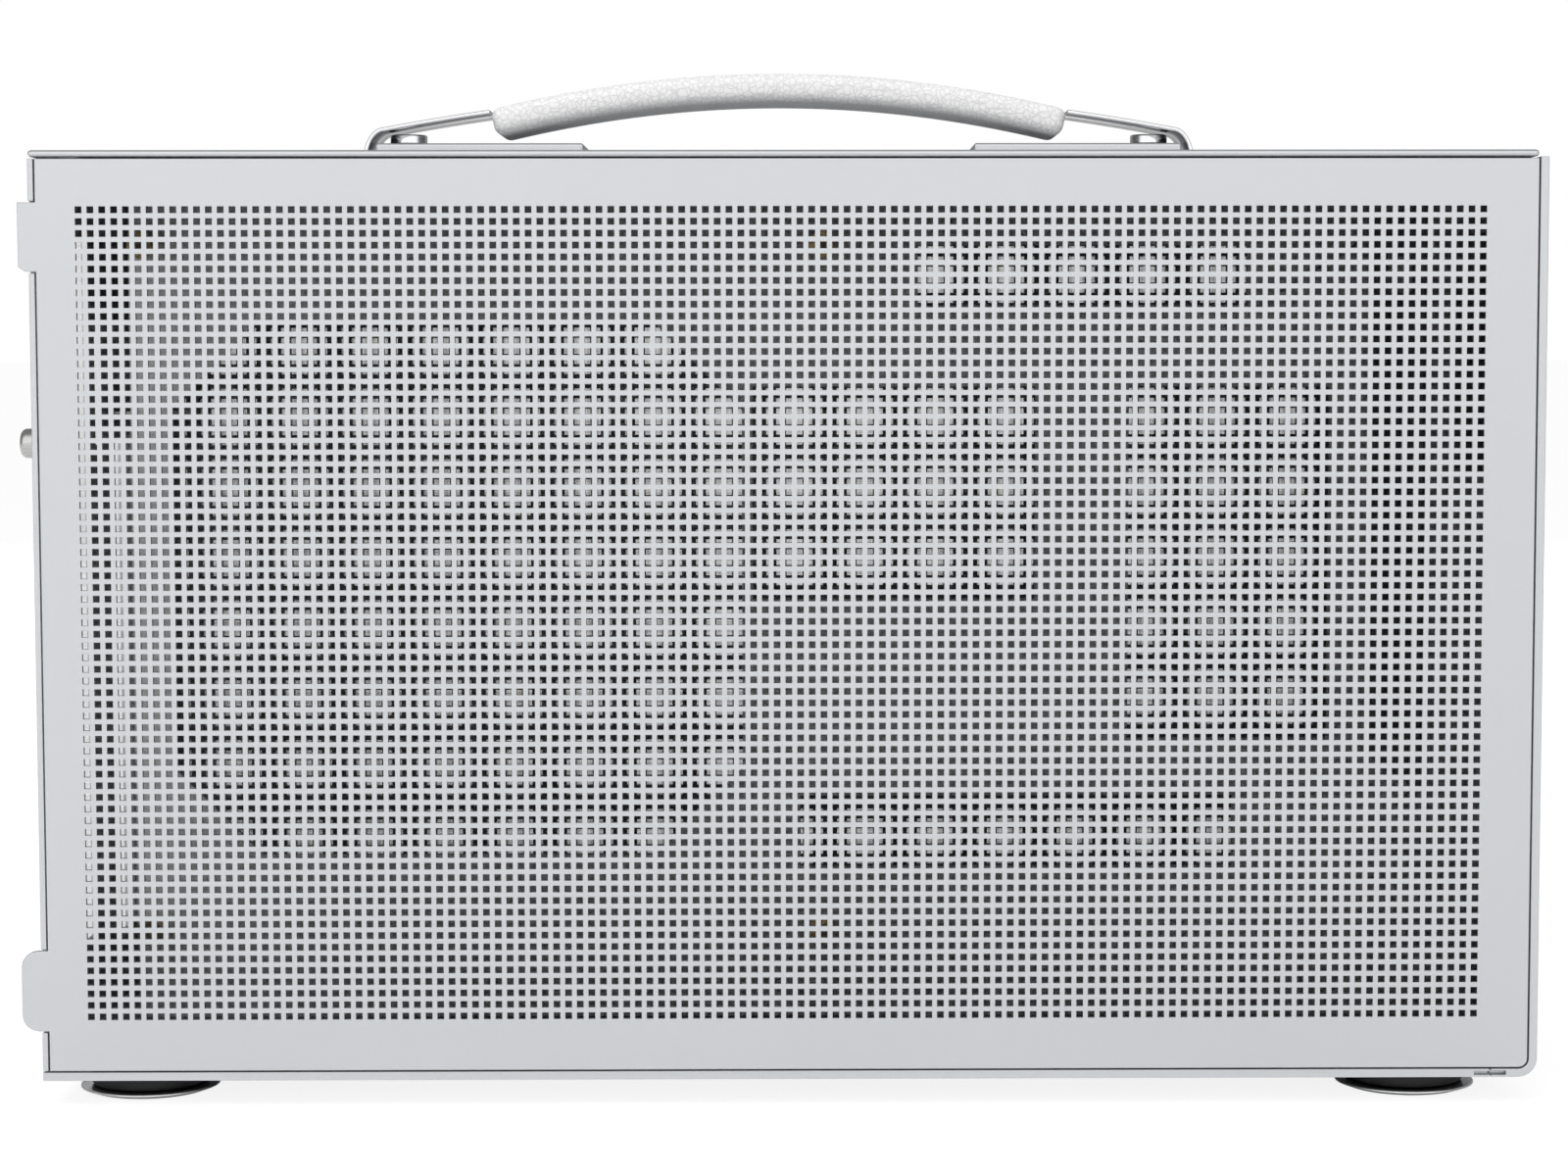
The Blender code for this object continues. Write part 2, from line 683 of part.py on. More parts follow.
def psu_bracket():
    """Upright frame that the power supply's end face bolts to, with a flange that lies on the tray."""
    top = TOP_Z - PSU_TOP_DROP
    low = top - PSU_HEIGHT
    near = NEAR_Y + PANEL_T + PSU_SIDE_GAP
    far = TRAY_FACE_Y - GAP
    m = PSU_WINDOW_MARGIN
    points = [(near, low), (far, low), (far, top), (near, top)]
    frame = outline(points, PSU_FACE_X, PSU_FACE_X + BRACKET_T, "X")
    window = box((PSU_FACE_X - 5, near + m, low + m), (PSU_FACE_X + 5, far - m, top - m))
    flange = box((PSU_FACE_X, far - BRACKET_T, low), (PSU_FACE_X + PSU_FLANGE, far, top - 2 * m))
    join(frame, flange, "psu_flange")
    subtract(frame, window, "psu_window")
    return finish(frame, "psu_bracket", "frame")


def riser():
    """Bracket, circuit board and socket of the graphics card's riser, standing on the floor."""
    middle = slot_centres()[0]
    rear = RISER_REAR_X
    front = rear + RISER_LENGTH
    low = IN_FLOOR_Z
    half = RISER_WIDTH / 2
    height = low + RISER_RISE
    inner = half - BRACKET_T
    points = [(middle - half, low), (middle - inner, low), (middle - inner, height - BRACKET_T)]
    points += [(middle + inner, height - BRACKET_T), (middle + inner, low)]
    points += [(middle + half, low), (middle + half, height), (middle - half, height)]
    finish(outline(points, rear, front, "X"), "riser_bracket", "frame")
    board_low = height + GAP
    card = box((rear, middle - half, board_low), (front, middle + half, board_low + BOARD_T))
    finish(card, "riser_card", "circuit")
    slot_low = board_low + BOARD_T + GAP
    inset = (RISER_LENGTH - RISER_SLOT_LENGTH) / 2
    half = RISER_SLOT_WIDTH / 2
    top = slot_low + RISER_SLOT_HEIGHT
    slot = box((rear + inset, middle - half, slot_low), (front - inset, middle + half, top))
    groove = box(
        (rear + inset + RISER_GROOVE_END, middle - RISER_GROOVE / 2, top - RISER_GROOVE_DEPTH),
        (front - inset - RISER_GROOVE_END, middle + RISER_GROOVE / 2, top + 5),
    )
    subtract(slot, groove, "riser_groove")
    finish(slot, "riser_slot", "black_plastic")


def slot_hardware():
    """Cover of the second slot, the shelf that card brackets rest on, its clamp and the thumbscrew."""
    low = FLOOR_Z + SLOT_RISE
    top = low + SLOT_HEIGHT
    y = slot_centres()[1]
    half = SLOT_WIDTH / 2 + SLOT_COVER_LAP
    cover_x = REAR_X + REAR_T + GAP
    cover_low = (cover_x, y - half, low - SLOT_COVER_FOOT)
    cover = box(cover_low, (cover_x + SLOT_COVER_T, y + half, top + SLOT_COVER_LAP))
    finish(cover, "slot_cover", "steel")
    near = slot_centres()[0] - half
    far = slot_centres()[1] + half
    shelf_low = top + SLOT_COVER_LAP + GAP
    shelf_x = REAR_X + REAR_T + GAP
    screw_x = shelf_x + SHELF_REACH / 2
    screw_y = (near + far) / 2
    shelf = box((shelf_x, near, shelf_low), (shelf_x + SHELF_REACH, far, shelf_low + SHELF_T))
    hole = cylinder((screw_x, screw_y, shelf_low), "Z", THREAD_R + HOLE_CLEARANCE, 12, 16)
    subtract(shelf, hole, "shelf_hole")
    finish(shelf, "slot_shelf", "frame")
    clamp_low = shelf_low + SHELF_T + GAP
    clamp = box((shelf_x, near, clamp_low), (shelf_x + SHELF_REACH, far, clamp_low + CLAMP_T))
    hole = cylinder((screw_x, screw_y, clamp_low), "Z", THREAD_R + HOLE_CLEARANCE, 12, 16)
    subtract(clamp, hole, "clamp_hole")
    finish(clamp, "slot_clamp", "steel")
    head_low = clamp_low + CLAMP_T + GAP
    shank = head_low - shelf_low + THUMB_SHANK_PAST
    shoulder = [(THUMB_R - THUMB_CHAMFER, THUMB_H), (THUMB_R, THUMB_H - THUMB_CHAMFER)]
    profile = [(0, THUMB_H)] + shoulder + [(THUMB_R, 0)]
    profile += [(THREAD_R, 0), (THREAD_R, -shank), (0, -shank)]
    finish(turned(profile, (screw_x, screw_y, head_low), "+Z", 24), "thumbscrew", "steel")


def mains_inlet():
    """Three-pin mains inlet: an open box with a flange outside the rear plate."""
    middle = TOP_Z - INLET_DROP
    flange_x = REAR_X - GAP
    half_w = INLET_FLANGE_W / 2
    half_h = INLET_FLANGE_H / 2
    flange_low = (flange_x - INLET_FLANGE_T, INLET_Y - half_w, middle - half_h)
    flange = box(flange_low, (flange_x, INLET_Y + half_w, middle + half_h))
    half_w = INLET_WIDTH / 2
    half_h = INLET_HEIGHT / 2
    back = flange_x + INLET_DEPTH
    body = box((flange_x - 1, INLET_Y - half_w, middle - half_h), (back, INLET_Y + half_w, middle + half_h))
    join(flange, body, "inlet_body")
    w = INLET_WALL
    cavity = box(
        (flange_x - 10, INLET_Y - half_w + w, middle - half_h + w),
        (back - w, INLET_Y + half_w - w, middle + half_h - w),
    )
    subtract(flange, cavity, "inlet_cavity")
    half_w = INLET_PIN_WIDTH / 2
    half_h = INLET_PIN_HEIGHT / 2
    for number, (y, z) in enumerate(INLET_PINS):
        low = (back - INLET_PIN_LENGTH, INLET_Y + y - half_w, middle + z - half_h)
        high = (back - INLET_WALL / 2, INLET_Y + y + half_w, middle + z + half_h)
        pin = box(low, high)
        join(flange, pin, "inlet_pin_%d" % number)
    finish(flange, "mains_inlet", "black_plastic")


def rear_screws():
    """A pan-head screw near each upright edge of the rear plate."""
    for side, word in ((-1, "near"), (1, "far")):
        y = side * (BODY_DEPTH / 2 - REAR_SCREW_INSET)
        z = TOP_Z - REAR_SCREW_DROP
        head = [(0, REAR_SCREW_H), (REAR_SCREW_R * REAR_SCREW_ROUND, REAR_SCREW_H)]
        head += [(REAR_SCREW_R, REAR_SCREW_H * REAR_SCREW_ROUND), (REAR_SCREW_R, 0), (THREAD_R, 0)]
        head += [(THREAD_R, -REAR_SCREW_SHANK), (0, -REAR_SCREW_SHANK)]
        screw = turned(head, (REAR_X - GAP, y, z), "+Z", 24)
        screw.rotation_euler = (0, -math.pi / 2, 0)
        finish(screw, "rear_screw_" + word, "steel")


# Front controls.
def front_controls():
    """Circuit board behind the front plate, with its two sockets, the switch, the button and its ring."""
    half = CONTROL_BOARD_WIDTH / 2
    top = TOP_Z - BUTTON_DROP + CONTROL_BOARD_MARGIN
    low = TOP_Z - USB_C_DROP - CONTROL_BOARD_MARGIN
    board = box((CONTROL_BOARD_X, CONTROL_Y - half, low), (CONTROL_BOARD_X + BOARD_T, CONTROL_Y + half, top))
    finish(board, "control_board", "circuit")
    usb_socket("usb_a_socket", USB_A_DROP, USB_A_WIDTH, USB_A_HEIGHT)
    usb_socket("usb_c_socket", USB_C_DROP, USB_C_WIDTH, USB_C_HEIGHT)
    power_button()


def usb_socket(name, drop, width, height):
    """A sheet-metal socket, open at the front plate, with a tongue inside."""
    back = CONTROL_BOARD_X + BOARD_T + GAP
    front = FRONT_X - USB_RECESS
    z = TOP_Z - drop
    w, h = width / 2, height / 2
    socket = box((back, CONTROL_Y - w, z - h), (front, CONTROL_Y + w, z + h))
    w, h = w - USB_WALL, h - USB_WALL
    cavity = box((front - USB_DEPTH, CONTROL_Y - w, z - h), (front + 5, CONTROL_Y + w, z + h))
    subtract(socket, cavity, name + "_cavity")
    w, h = width * USB_TONGUE_W / 2, height * USB_TONGUE_H / 2
    tongue_back = front - USB_DEPTH - USB_TONGUE_BACK
    tongue = box((tongue_back, CONTROL_Y - w, z - h), (front - USB_TONGUE_RECESS, CONTROL_Y + w, z + h))
    join(socket, tongue, name + "_tongue")
    finish(socket, name, "steel")


def power_button():
    """Round button kept in its ring by a flange, with the switch it presses on the circuit board."""
    z = TOP_Z - BUTTON_DROP
    ring_back = FRONT_X - WRAP_T - GAP
    ring_front = FRONT_X + RING_PROUD
    place = ((ring_back + ring_front) / 2, CONTROL_Y, z)
    ring = cylinder(place, "X", BUTTON_R + GAP + RING_WALL, ring_front - ring_back, 40)
    subtract(ring, cylinder(place, "X", BUTTON_R + GAP, 30, 40), "ring_bore")
    finish(smooth(ring), "power_button_ring", "edge")
    flange_front = ring_back - GAP
    flange_back = flange_front - BUTTON_FLANGE_T
    cap_front = FRONT_X + BUTTON_PROUD
    cap = cylinder(((flange_back + cap_front) / 2, CONTROL_Y, z), "X", BUTTON_R, cap_front - flange_back, 40)
    middle = (flange_back + flange_front) / 2
    flange = cylinder((middle, CONTROL_Y, z), "X", BUTTON_R + BUTTON_FLANGE, BUTTON_FLANGE_T, 40)
    join(cap, flange, "button_flange")
    finish(smooth(cap), "power_button", "anodised")
    switch_back = CONTROL_BOARD_X + BOARD_T + GAP
    plunger_front = flange_back - BUTTON_TRAVEL - GAP
    body_front = plunger_front - PLUNGER_REACH
    half = SWITCH_SIZE / 2
    switch = box((switch_back, CONTROL_Y - half, z - half), (body_front, CONTROL_Y + half, z + half))
    plunger_back = switch_back + PLUNGER_ROOT
    middle = (plunger_back + plunger_front) / 2
    plunger = cylinder((middle, CONTROL_Y, z), "X", PLUNGER_R, plunger_front - plunger_back, 16)
    join(switch, plunger, "switch_plunger")
    finish(switch, "power_switch", "black_plastic")


# Feet.
def foot_places():
    """Middle of each foot in X and Y."""
    y = BODY_DEPTH / 2 - FOOT_INSET
    middles = (REAR_X + FOOT_REAR_INSET, FRONT_X - FOOT_FRONT_INSET)
    return [(x, side * y) for x in middles for side in (-1, 1)]


def feet():
    """Each foot is a rubber pad, held by its peg in the floor, with a metal ring round its neck."""
    for number, (x, y) in enumerate(foot_places()):
        top = FLOOR_Z - GAP
        peg = top + FOOT_PEG_H
        ring_top = FOOT_RING_LOW + FOOT_RING_H
        shoulder = ring_top + GAP
        pad = [(0, peg), (FOOT_PEG_R, peg), (FOOT_PEG_R, top), (FOOT_PAD_R, top), (FOOT_PAD_R, shoulder)]
        pad += [(FOOT_NECK_R, shoulder), (FOOT_NECK_R, 0), (FOOT_RECESS_R, 0)]
        pad += [(FOOT_RECESS_R, FOOT_RECESS), (0, FOOT_RECESS)]
        finish(turned(pad, (x, y, 0), "+Z", 32), "foot_pad_%d" % (number + 1), "rubber")
        ring = [(0, ring_top), (FOOT_RING_R - FOOT_RING_EDGE, ring_top)]
        ring += [(FOOT_RING_R, ring_top - FOOT_RING_EDGE), (FOOT_RING_LOW_R, FOOT_RING_LOW)]
        ring += [(0, FOOT_RING_LOW)]
        plate = turned(ring, (x, y, 0), "+Z", 32)
        bore = cylinder((x, y, 0), "Z", FOOT_NECK_R + GAP, FOOT_HEIGHT, 32)
        subtract(plate, bore, "foot_ring_bore_%d" % (number + 1))
        finish(plate, "foot_ring_%d" % (number + 1), "edge")


# Handle.
def grip_height(x):
    """Height of the grip's middle line: a parabola from its rise at the middle to the rise at its ends."""
    return TOP_Z + GRIP_RISE - (GRIP_RISE - GRIP_END_RISE) * (2 * x / GRIP_LENGTH) ** 2


def band_height(x):
    """Height of the band's middle line: a parabola down to where the band turns to the top plate."""
    flat_end = GRIP_LENGTH / 2 + BAND_FLAT_PAST_GRIP
    return TOP_Z + BAND_RISE - (BAND_RISE - BAND_END_RISE) * (x / flat_end) ** 2


def strip(points, thickness, width):
    """A strip of even thickness that follows points in XZ, centred on the middle of the case in Y."""
    upper = []
    lower = []
    for i, point in enumerate(points):
        before = Vector(points[max(i - 1, 0)])
        after = Vector(points[min(i + 1, len(points) - 1)])
        along = (after - before).normalized()
        normal = Vector((-along.y, along.x)) * thickness / 2
        upper.append(tuple(Vector(point) + normal))
        lower.append(tuple(Vector(point) - normal))
    return outline(upper + lower[::-1], -width / 2, width / 2)


def handle():
    """Leather grip on a thin band, which runs over a boss on each base plate and down to the top plate."""
    steps = 20
    half = GRIP_LENGTH / 2
    across = [-half + GRIP_LENGTH * i / steps for i in range(steps + 1)]
    points = [(HANDLE_X + x, grip_height(x)) for x in across]
    finish(strip(points, GRIP_T, GRIP_WIDTH), "handle_grip", "leather")
    for side, word in ((-1, "rear"), (1, "front")):
        handle_end(side, word)


def handle_end(side, word):
    """Base plate, boss and half of the band at one end of the handle."""
    half = GRIP_LENGTH / 2
    base_low = TOP_Z + GAP
    base_top = base_low + BASE_T
    ends = sorted(HANDLE_X + side * x for x in (half - BASE_UNDER_GRIP, half + BASE_PAST_GRIP))
    base = box((ends[0], -BASE_WIDTH / 2, base_low), (ends[1], BASE_WIDTH / 2, base_top))
    finish(base, "handle_base_" + word, "anodised")
    boss_x = half + BOSS_PAST_GRIP
    boss_low = base_top + GAP
    boss_top = band_height(boss_x + BOSS_R) - BAND_T / 2 - GAP
    place = (HANDLE_X + side * boss_x, 0, (boss_low + boss_top) / 2)
    boss = cylinder(place, "Z", BOSS_R, boss_top - boss_low)
    finish(smooth(boss), "handle_boss_" + word, "steel")
    finish(strip(band_points(side), BAND_T, BAND_WIDTH), "handle_band_" + word, "edge")


def band_points(side):
    """Middle line of one half of the band: a shallow curve, then a quarter ellipse down to the top plate."""
    half = GRIP_LENGTH / 2
    slope = 4 * (GRIP_RISE - GRIP_END_RISE) / GRIP_LENGTH
    start = half + slope * GRIP_T / 2 + 2 * GAP
    flat_end = half + BAND_FLAT_PAST_GRIP
    run = [start + (flat_end - start) * i / 6 for i in range(7)]
    band = [(HANDLE_X + side * x, band_height(x)) for x in run]
    high = band_height(flat_end)
    low = TOP_Z + GAP + BAND_T / 2
    for i in range(1, 6):
        angle = math.radians(90 * i / 5)
        x = flat_end + BAND_CURL * math.sin(angle)
        band.append((HANDLE_X + side * x, low + (high - low) * math.cos(angle)))
    return band


def centre_all():
    """Hangs every part from an empty, moved so that the whole object is centred over the origin."""
    rear_reach = PULL_REACH
    front_reach = BUTTON_PROUD
    origin = bpy.data.objects.new("case_origin", None)
    CASE.objects.link(origin)
    origin.location = ((rear_reach - front_reach) / 2 * MM, 0, 0)
    for collection in (CASE, CUTTERS):
        for thing in list(collection.objects):
            if thing is not origin:
                thing.parent = origin


top_plate()
bottom_plate()
front_plate()
rear_plate()
side_panel("near", -1)
side_panel("far", 1)
rails()
motherboard_tray()
standoffs()
psu_bracket()
riser()
slot_hardware()
mains_inlet()
rear_screws()
front_controls()
feet()
handle()
centre_all()
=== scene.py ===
# %% [markdown]
# # A compact computer case, seen from its motherboard side
#
# The object is a slim box of thin silver sheet. Both long sides are sheets pierced by thousands of small
# square holes, so most of what the eye sees is one sheet of holes in front of another. A leather strap
# handle sits on top, and the box stands on four round feet. The solid model already fixes every size.
# This lesson adds what the solid model leaves out: the holes, soft edges, the strap's leather, screw
# heads, and a material for each finish.

# %% Load the frame
import json
import math

import bmesh
import bpy
import numpy as np
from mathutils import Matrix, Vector
from mathutils.geometry import tessellate_polygon


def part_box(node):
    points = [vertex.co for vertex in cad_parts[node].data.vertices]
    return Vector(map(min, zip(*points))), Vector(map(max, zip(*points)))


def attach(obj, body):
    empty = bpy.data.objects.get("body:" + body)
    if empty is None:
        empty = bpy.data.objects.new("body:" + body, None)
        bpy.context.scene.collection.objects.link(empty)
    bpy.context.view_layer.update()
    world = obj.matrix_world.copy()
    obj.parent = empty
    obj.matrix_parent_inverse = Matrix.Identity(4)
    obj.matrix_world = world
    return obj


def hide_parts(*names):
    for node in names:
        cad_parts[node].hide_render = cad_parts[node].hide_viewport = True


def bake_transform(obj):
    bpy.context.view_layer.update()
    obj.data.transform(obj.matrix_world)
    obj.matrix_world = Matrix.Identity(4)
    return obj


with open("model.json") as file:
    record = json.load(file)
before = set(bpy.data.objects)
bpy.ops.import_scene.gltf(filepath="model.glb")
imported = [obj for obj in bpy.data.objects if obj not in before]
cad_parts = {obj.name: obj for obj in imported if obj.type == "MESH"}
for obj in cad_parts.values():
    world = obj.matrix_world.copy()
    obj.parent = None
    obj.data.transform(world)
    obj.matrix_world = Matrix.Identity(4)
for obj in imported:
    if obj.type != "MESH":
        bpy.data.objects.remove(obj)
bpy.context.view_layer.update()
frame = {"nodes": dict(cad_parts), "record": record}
MM = 0.001

# %% [markdown]
# ## Where things are
#
# Every place below is read from the solid model. `span` gives a node's lowest and highest corner as
# arrays, so a piece that replaces a node takes its size and place from it, and nothing has to be fitted
# by eye afterwards.

# %% Read places from the solid model
def span(node):
    """Lowest and highest corner of a node, each as an array of three numbers."""
    low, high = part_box(node)
    return np.array(low), np.array(high)


def middle(node):
    """Centre of a node's box."""
    low, high = span(node)
    return (low + high) / 2


TOP_Z = span("top_plate")[1][2]
FLOOR_Z = span("bottom_plate")[0][2]
FRONT_X = span("front_plate")[1][0]
REAR_X = span("rear_plate")[0][0]
NEAR_Y = span("near_panel")[0][1]
print("shell length %.1f mm, height %.1f mm" % ((FRONT_X - REAR_X) / MM, (TOP_Z - FLOOR_Z) / MM))

# %% [markdown]
# ## The camera
#
# The view is from straight in front of the pierced side with a long lens, a little below the top edge, so
# the top face is hidden and the handle is seen against the background. A long lens makes the far sheet of
# holes almost the same size as the near one, which gives the slow bands of light and dark where they
# overlap.

# %% Make the camera
SENSOR_WIDTH = 36.0
FOCAL_LENGTH = 79.88
SHIFT_ACROSS = -0.0261
SHIFT_UP = 0.0103
CAMERA_PLACE = Vector((0.0024, NEAR_Y - 0.7405, FLOOR_Z + 0.1573))
CAMERA_DOWN = 4.2216
CAMERA_RIGHT = 0.5108
CAMERA_ROLL = 0.0583

camera_data = bpy.data.cameras.new("camera")
camera_data.sensor_width = SENSOR_WIDTH
camera_data.lens = FOCAL_LENGTH
camera_data.shift_x = SHIFT_ACROSS
camera_data.shift_y = SHIFT_UP
camera_data.clip_start = 0.01
camera = bpy.data.objects.new("camera", camera_data)
bpy.context.scene.collection.objects.link(camera)
camera.location = CAMERA_PLACE
camera.rotation_euler = [math.radians(a) for a in (90 - CAMERA_DOWN, CAMERA_ROLL, -CAMERA_RIGHT)]
bpy.context.scene.camera = camera
print("lens %.1f mm, shift %.4f, %.4f" % (camera_data.lens, camera_data.shift_x, camera_data.shift_y))

# %% [markdown]
# ## Small tools for surfaces
#
# Every new piece is a grid of points worked out by a formula and handed to Blender in one go. Three
# helpers cover most of them: a grid of quads, a turned shape, and a cross-section carried along a path.
# Arrays keep the formula readable and run far faster than a loop over single points.

# %% From arrays to a mesh object
def add_piece(name, points, faces, smooth_angle=None):
    """A mesh object at the origin from an array of points and a list of faces."""
    mesh = bpy.data.meshes.new(name)
    mesh.from_pydata(np.asarray(points).tolist(), [], faces)
    mesh.validate()
    if smooth_angle is not None:
        mesh.shade_smooth()
        mesh.set_sharp_from_angle(angle=math.radians(smooth_angle))
    piece = bpy.data.objects.new(name, mesh)
    bpy.context.scene.collection.objects.link(piece)
    return piece


def grid_faces(rows, columns, around=True):
    """Quads of a grid whose point in row i and column j has number i * columns + j. It may close around."""
    row = np.arange(rows - 1)[:, None]
    column = np.arange(columns if around else columns - 1)[None, :]
    after = (column + 1) % columns
    here, above = row * columns, (row + 1) * columns
    corners = [here + column, here + after, above + after, above + column]
    return np.stack(np.broadcast_arrays(*corners), axis=-1).reshape(-1, 4)


def finish_piece(piece, body, slot, *nodes):
    """Lets a piece ride on a body and hides the nodes that it stands for. The slot argument is not used."""
    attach(piece, body)
    if nodes:
        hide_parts(*nodes)
    return piece


def face_outwards(piece):
    """Turns all faces of a closed piece to the outside."""
    shape = bmesh.new()
    shape.from_mesh(piece.data)
    bmesh.ops.recalc_face_normals(shape, faces=shape.faces)
    shape.to_mesh(piece.data)
    shape.free()
    return piece

# %% Turned shapes
AXES = {
    "+X": ((0, 1, 0), (0, 0, 1), (1, 0, 0)),
    "-X": ((0, 0, 1), (0, 1, 0), (-1, 0, 0)),
    "+Y": ((0, 0, 1), (1, 0, 0), (0, 1, 0)),
    "-Y": ((1, 0, 0), (0, 0, 1), (0, -1, 0)),
    "+Z": ((1, 0, 0), (0, 1, 0), (0, 0, 1)),
    "-Z": ((0, 1, 0), (1, 0, 0), (0, 0, -1)),
}


def turned_points(radius, height, centre, axis, steps, ripple=None):
    """Points of a turned surface: each ring is radius * (cos a, sin a) round the axis, at its own height.
    ripple, if given, is added to every radius as a function of the angle and the ring's number."""
    side, up, along = (np.array(v, float) for v in AXES[axis])
    angle = np.linspace(0, 2 * np.pi, steps, endpoint=False)
    ring = np.asarray(radius, float)[:, None] * np.ones(steps)
    if ripple is not None:
        ring = ring + ripple(angle[None, :], np.arange(len(radius))[:, None])
    points = ring[..., None] * (np.cos(angle)[:, None] * side + np.sin(angle)[:, None] * up)
    points = points + np.asarray(height, float)[:, None, None] * along
    return (points + np.asarray(centre, float)).reshape(-1, 3)


def turned(name, profile, centre, axis, steps=64, ripple=None, smooth_angle=32):
    """A closed turned piece. The profile lists radius and height in millimetres, and both its ends lie on the
    axis, where a single point closes the surface."""
    profile = np.array(profile, float) * MM
    rings = profile[1:-1]
    points = turned_points(rings[:, 0], rings[:, 1], centre, axis, steps, ripple)
    along = np.array(AXES[axis][2], float)
    poles = np.array([np.asarray(centre) + along * profile[end, 1] for end in (0, -1)])
    count = len(rings) * steps
    step = np.arange(steps)
    after = (step + 1) % steps
    first = np.stack([np.full(steps, count), after, step], axis=-1)
    base = count - steps
    last = np.stack([np.full(steps, count + 1), base + step, base + after], axis=-1)
    faces = grid_faces(len(rings), steps).tolist() + first.tolist() + last.tolist()
    piece = add_piece(name, np.vstack([points, poles]), faces)
    face_outwards(piece)
    piece.data.shade_smooth()
    piece.data.set_sharp_from_angle(angle=math.radians(smooth_angle))
    return piece


def ring_turned(name, profile, centre, axis, steps=64, smooth_angle=32):
    """A closed turned ring. The profile is a loop of radius and height in millimetres that never meets the
    axis, so its last ring of points joins its first one."""
    loop = np.array(profile, float) * MM
    points = turned_points(loop[:, 0], loop[:, 1], centre, axis, steps)
    faces = grid_faces(len(loop) + 1, steps) % len(points)
    piece = add_piece(name, points, faces.tolist())
    face_outwards(piece)
    piece.data.shade_smooth()
    piece.data.set_sharp_from_angle(angle=math.radians(smooth_angle))
    return piece


def arc(centre, radius, start, end, steps):
    """Points of an arc in millimetres, from one angle to another in degrees."""
    angle = np.radians(np.linspace(start, end, steps + 1))
    return [(centre[0] + radius * c, centre[1] + radius * s) for c, s in zip(np.cos(angle), np.sin(angle))]

# %% Rounded sections carried along a path
def rounded_section(width, height, radius, steps=6):
    """A rectangle with quarter circles for corners, as a loop of points about its centre."""
    loops = []
    for sign_x, sign_y, start in ((1, 1, 0), (-1, 1, 90), (-1, -1, 180), (1, -1, 270)):
        angle = np.radians(start + np.linspace(0, 90, steps + 1))
        x = sign_x * (width / 2 - radius) + radius * np.cos(angle)
        y = sign_y * (height / 2 - radius) + radius * np.sin(angle)
        loops.append(np.stack([x, y], axis=-1))
    return np.vstack(loops)


def carried(name, sections, path, side, up, smooth_angle=40):
    """A closed piece: section i, a loop of points, is laid at path point i with its first axis along side and
    its second along up[i]. The two end sections are closed by flat faces."""
    sections = np.asarray(sections, float)
    points = path[:, None, :] + sections[..., :1] * side + sections[..., 1:] * up[:, None, :]
    rows, columns = sections.shape[:2]
    faces = grid_faces(rows, columns).tolist()
    faces.append(list(range(columns))[::-1])
    faces.append(list(range((rows - 1) * columns, rows * columns)))
    piece = add_piece(name, points.reshape(-1, 3), faces)
    face_outwards(piece)
    piece.data.shade_smooth()
    piece.data.set_sharp_from_angle(angle=math.radians(smooth_angle))
    return piece

# %% [markdown]
# ## Colour and finish
#
# A finish is more than a colour. Bead-blasted and anodised sheet has a very fine, even grain and hardly
# any change of tone, while leather has cells that differ in size and height. Two effects serve several
# finishes, so they are node groups with named sockets: `fine_grain` for blasted, moulded and painted
# surfaces, and `handled_surface` for the faint smudges and rubbed places that make a surface look used.
# Each material then feeds the groups' masks into its own shader.

# %% Node group helpers
def new_group(name, inputs, outputs):
    """A shader node group with the named sockets, and its input and output nodes."""
    group = bpy.data.node_groups.new(name, "ShaderNodeTree")
    for label, kind, value in inputs:
        socket = group.interface.new_socket(label, in_out="INPUT", socket_type=kind)
        if value is not None:
            socket.default_value = value
    for label, kind in outputs:
        group.interface.new_socket(label, in_out="OUTPUT", socket_type=kind)
    return group, group.nodes.new("NodeGroupInput"), group.nodes.new("NodeGroupOutput")


def noise_node(tree, scale, detail, roughness=0.5):
    """A noise texture with its three usual values."""
    node = tree.nodes.new("ShaderNodeTexNoise")
    node.inputs["Scale"].default_value = scale
    node.inputs["Detail"].default_value = detail
    node.inputs["Roughness"].default_value = roughness
    return node


def map_node(tree, from_low, from_high, to_low, to_high):
    """Maps one range of values to another."""
    node = tree.nodes.new("ShaderNodeMapRange")
    values = {"From Min": from_low, "From Max": from_high, "To Min": to_low, "To Max": to_high}
    for label, value in values.items():
        node.inputs[label].default_value = value
    return node

# %% The two shared effects
def make_fine_grain():
    """Even grain of a chosen size: a mask for colour and roughness, and a height for relief."""
    sockets = [("Place", "NodeSocketVector", None), ("Grains per metre", "NodeSocketFloat", 3000.0)]
    results = [("Mask", "NodeSocketFloat"), ("Height", "NodeSocketFloat")]
    group, start, end = new_group("fine_grain", sockets, results)
    grain = noise_node(group, 1.0, 3.0, 0.6)
    group.links.new(start.outputs["Place"], grain.inputs["Vector"])
    group.links.new(start.outputs["Grains per metre"], grain.inputs["Scale"])
    mask = map_node(group, 0.35, 0.65, 0.0, 1.0)
    group.links.new(grain.outputs["Fac"], mask.inputs["Value"])
    group.links.new(mask.outputs["Result"], end.inputs["Mask"])
    group.links.new(grain.outputs["Fac"], end.inputs["Height"])
    return group


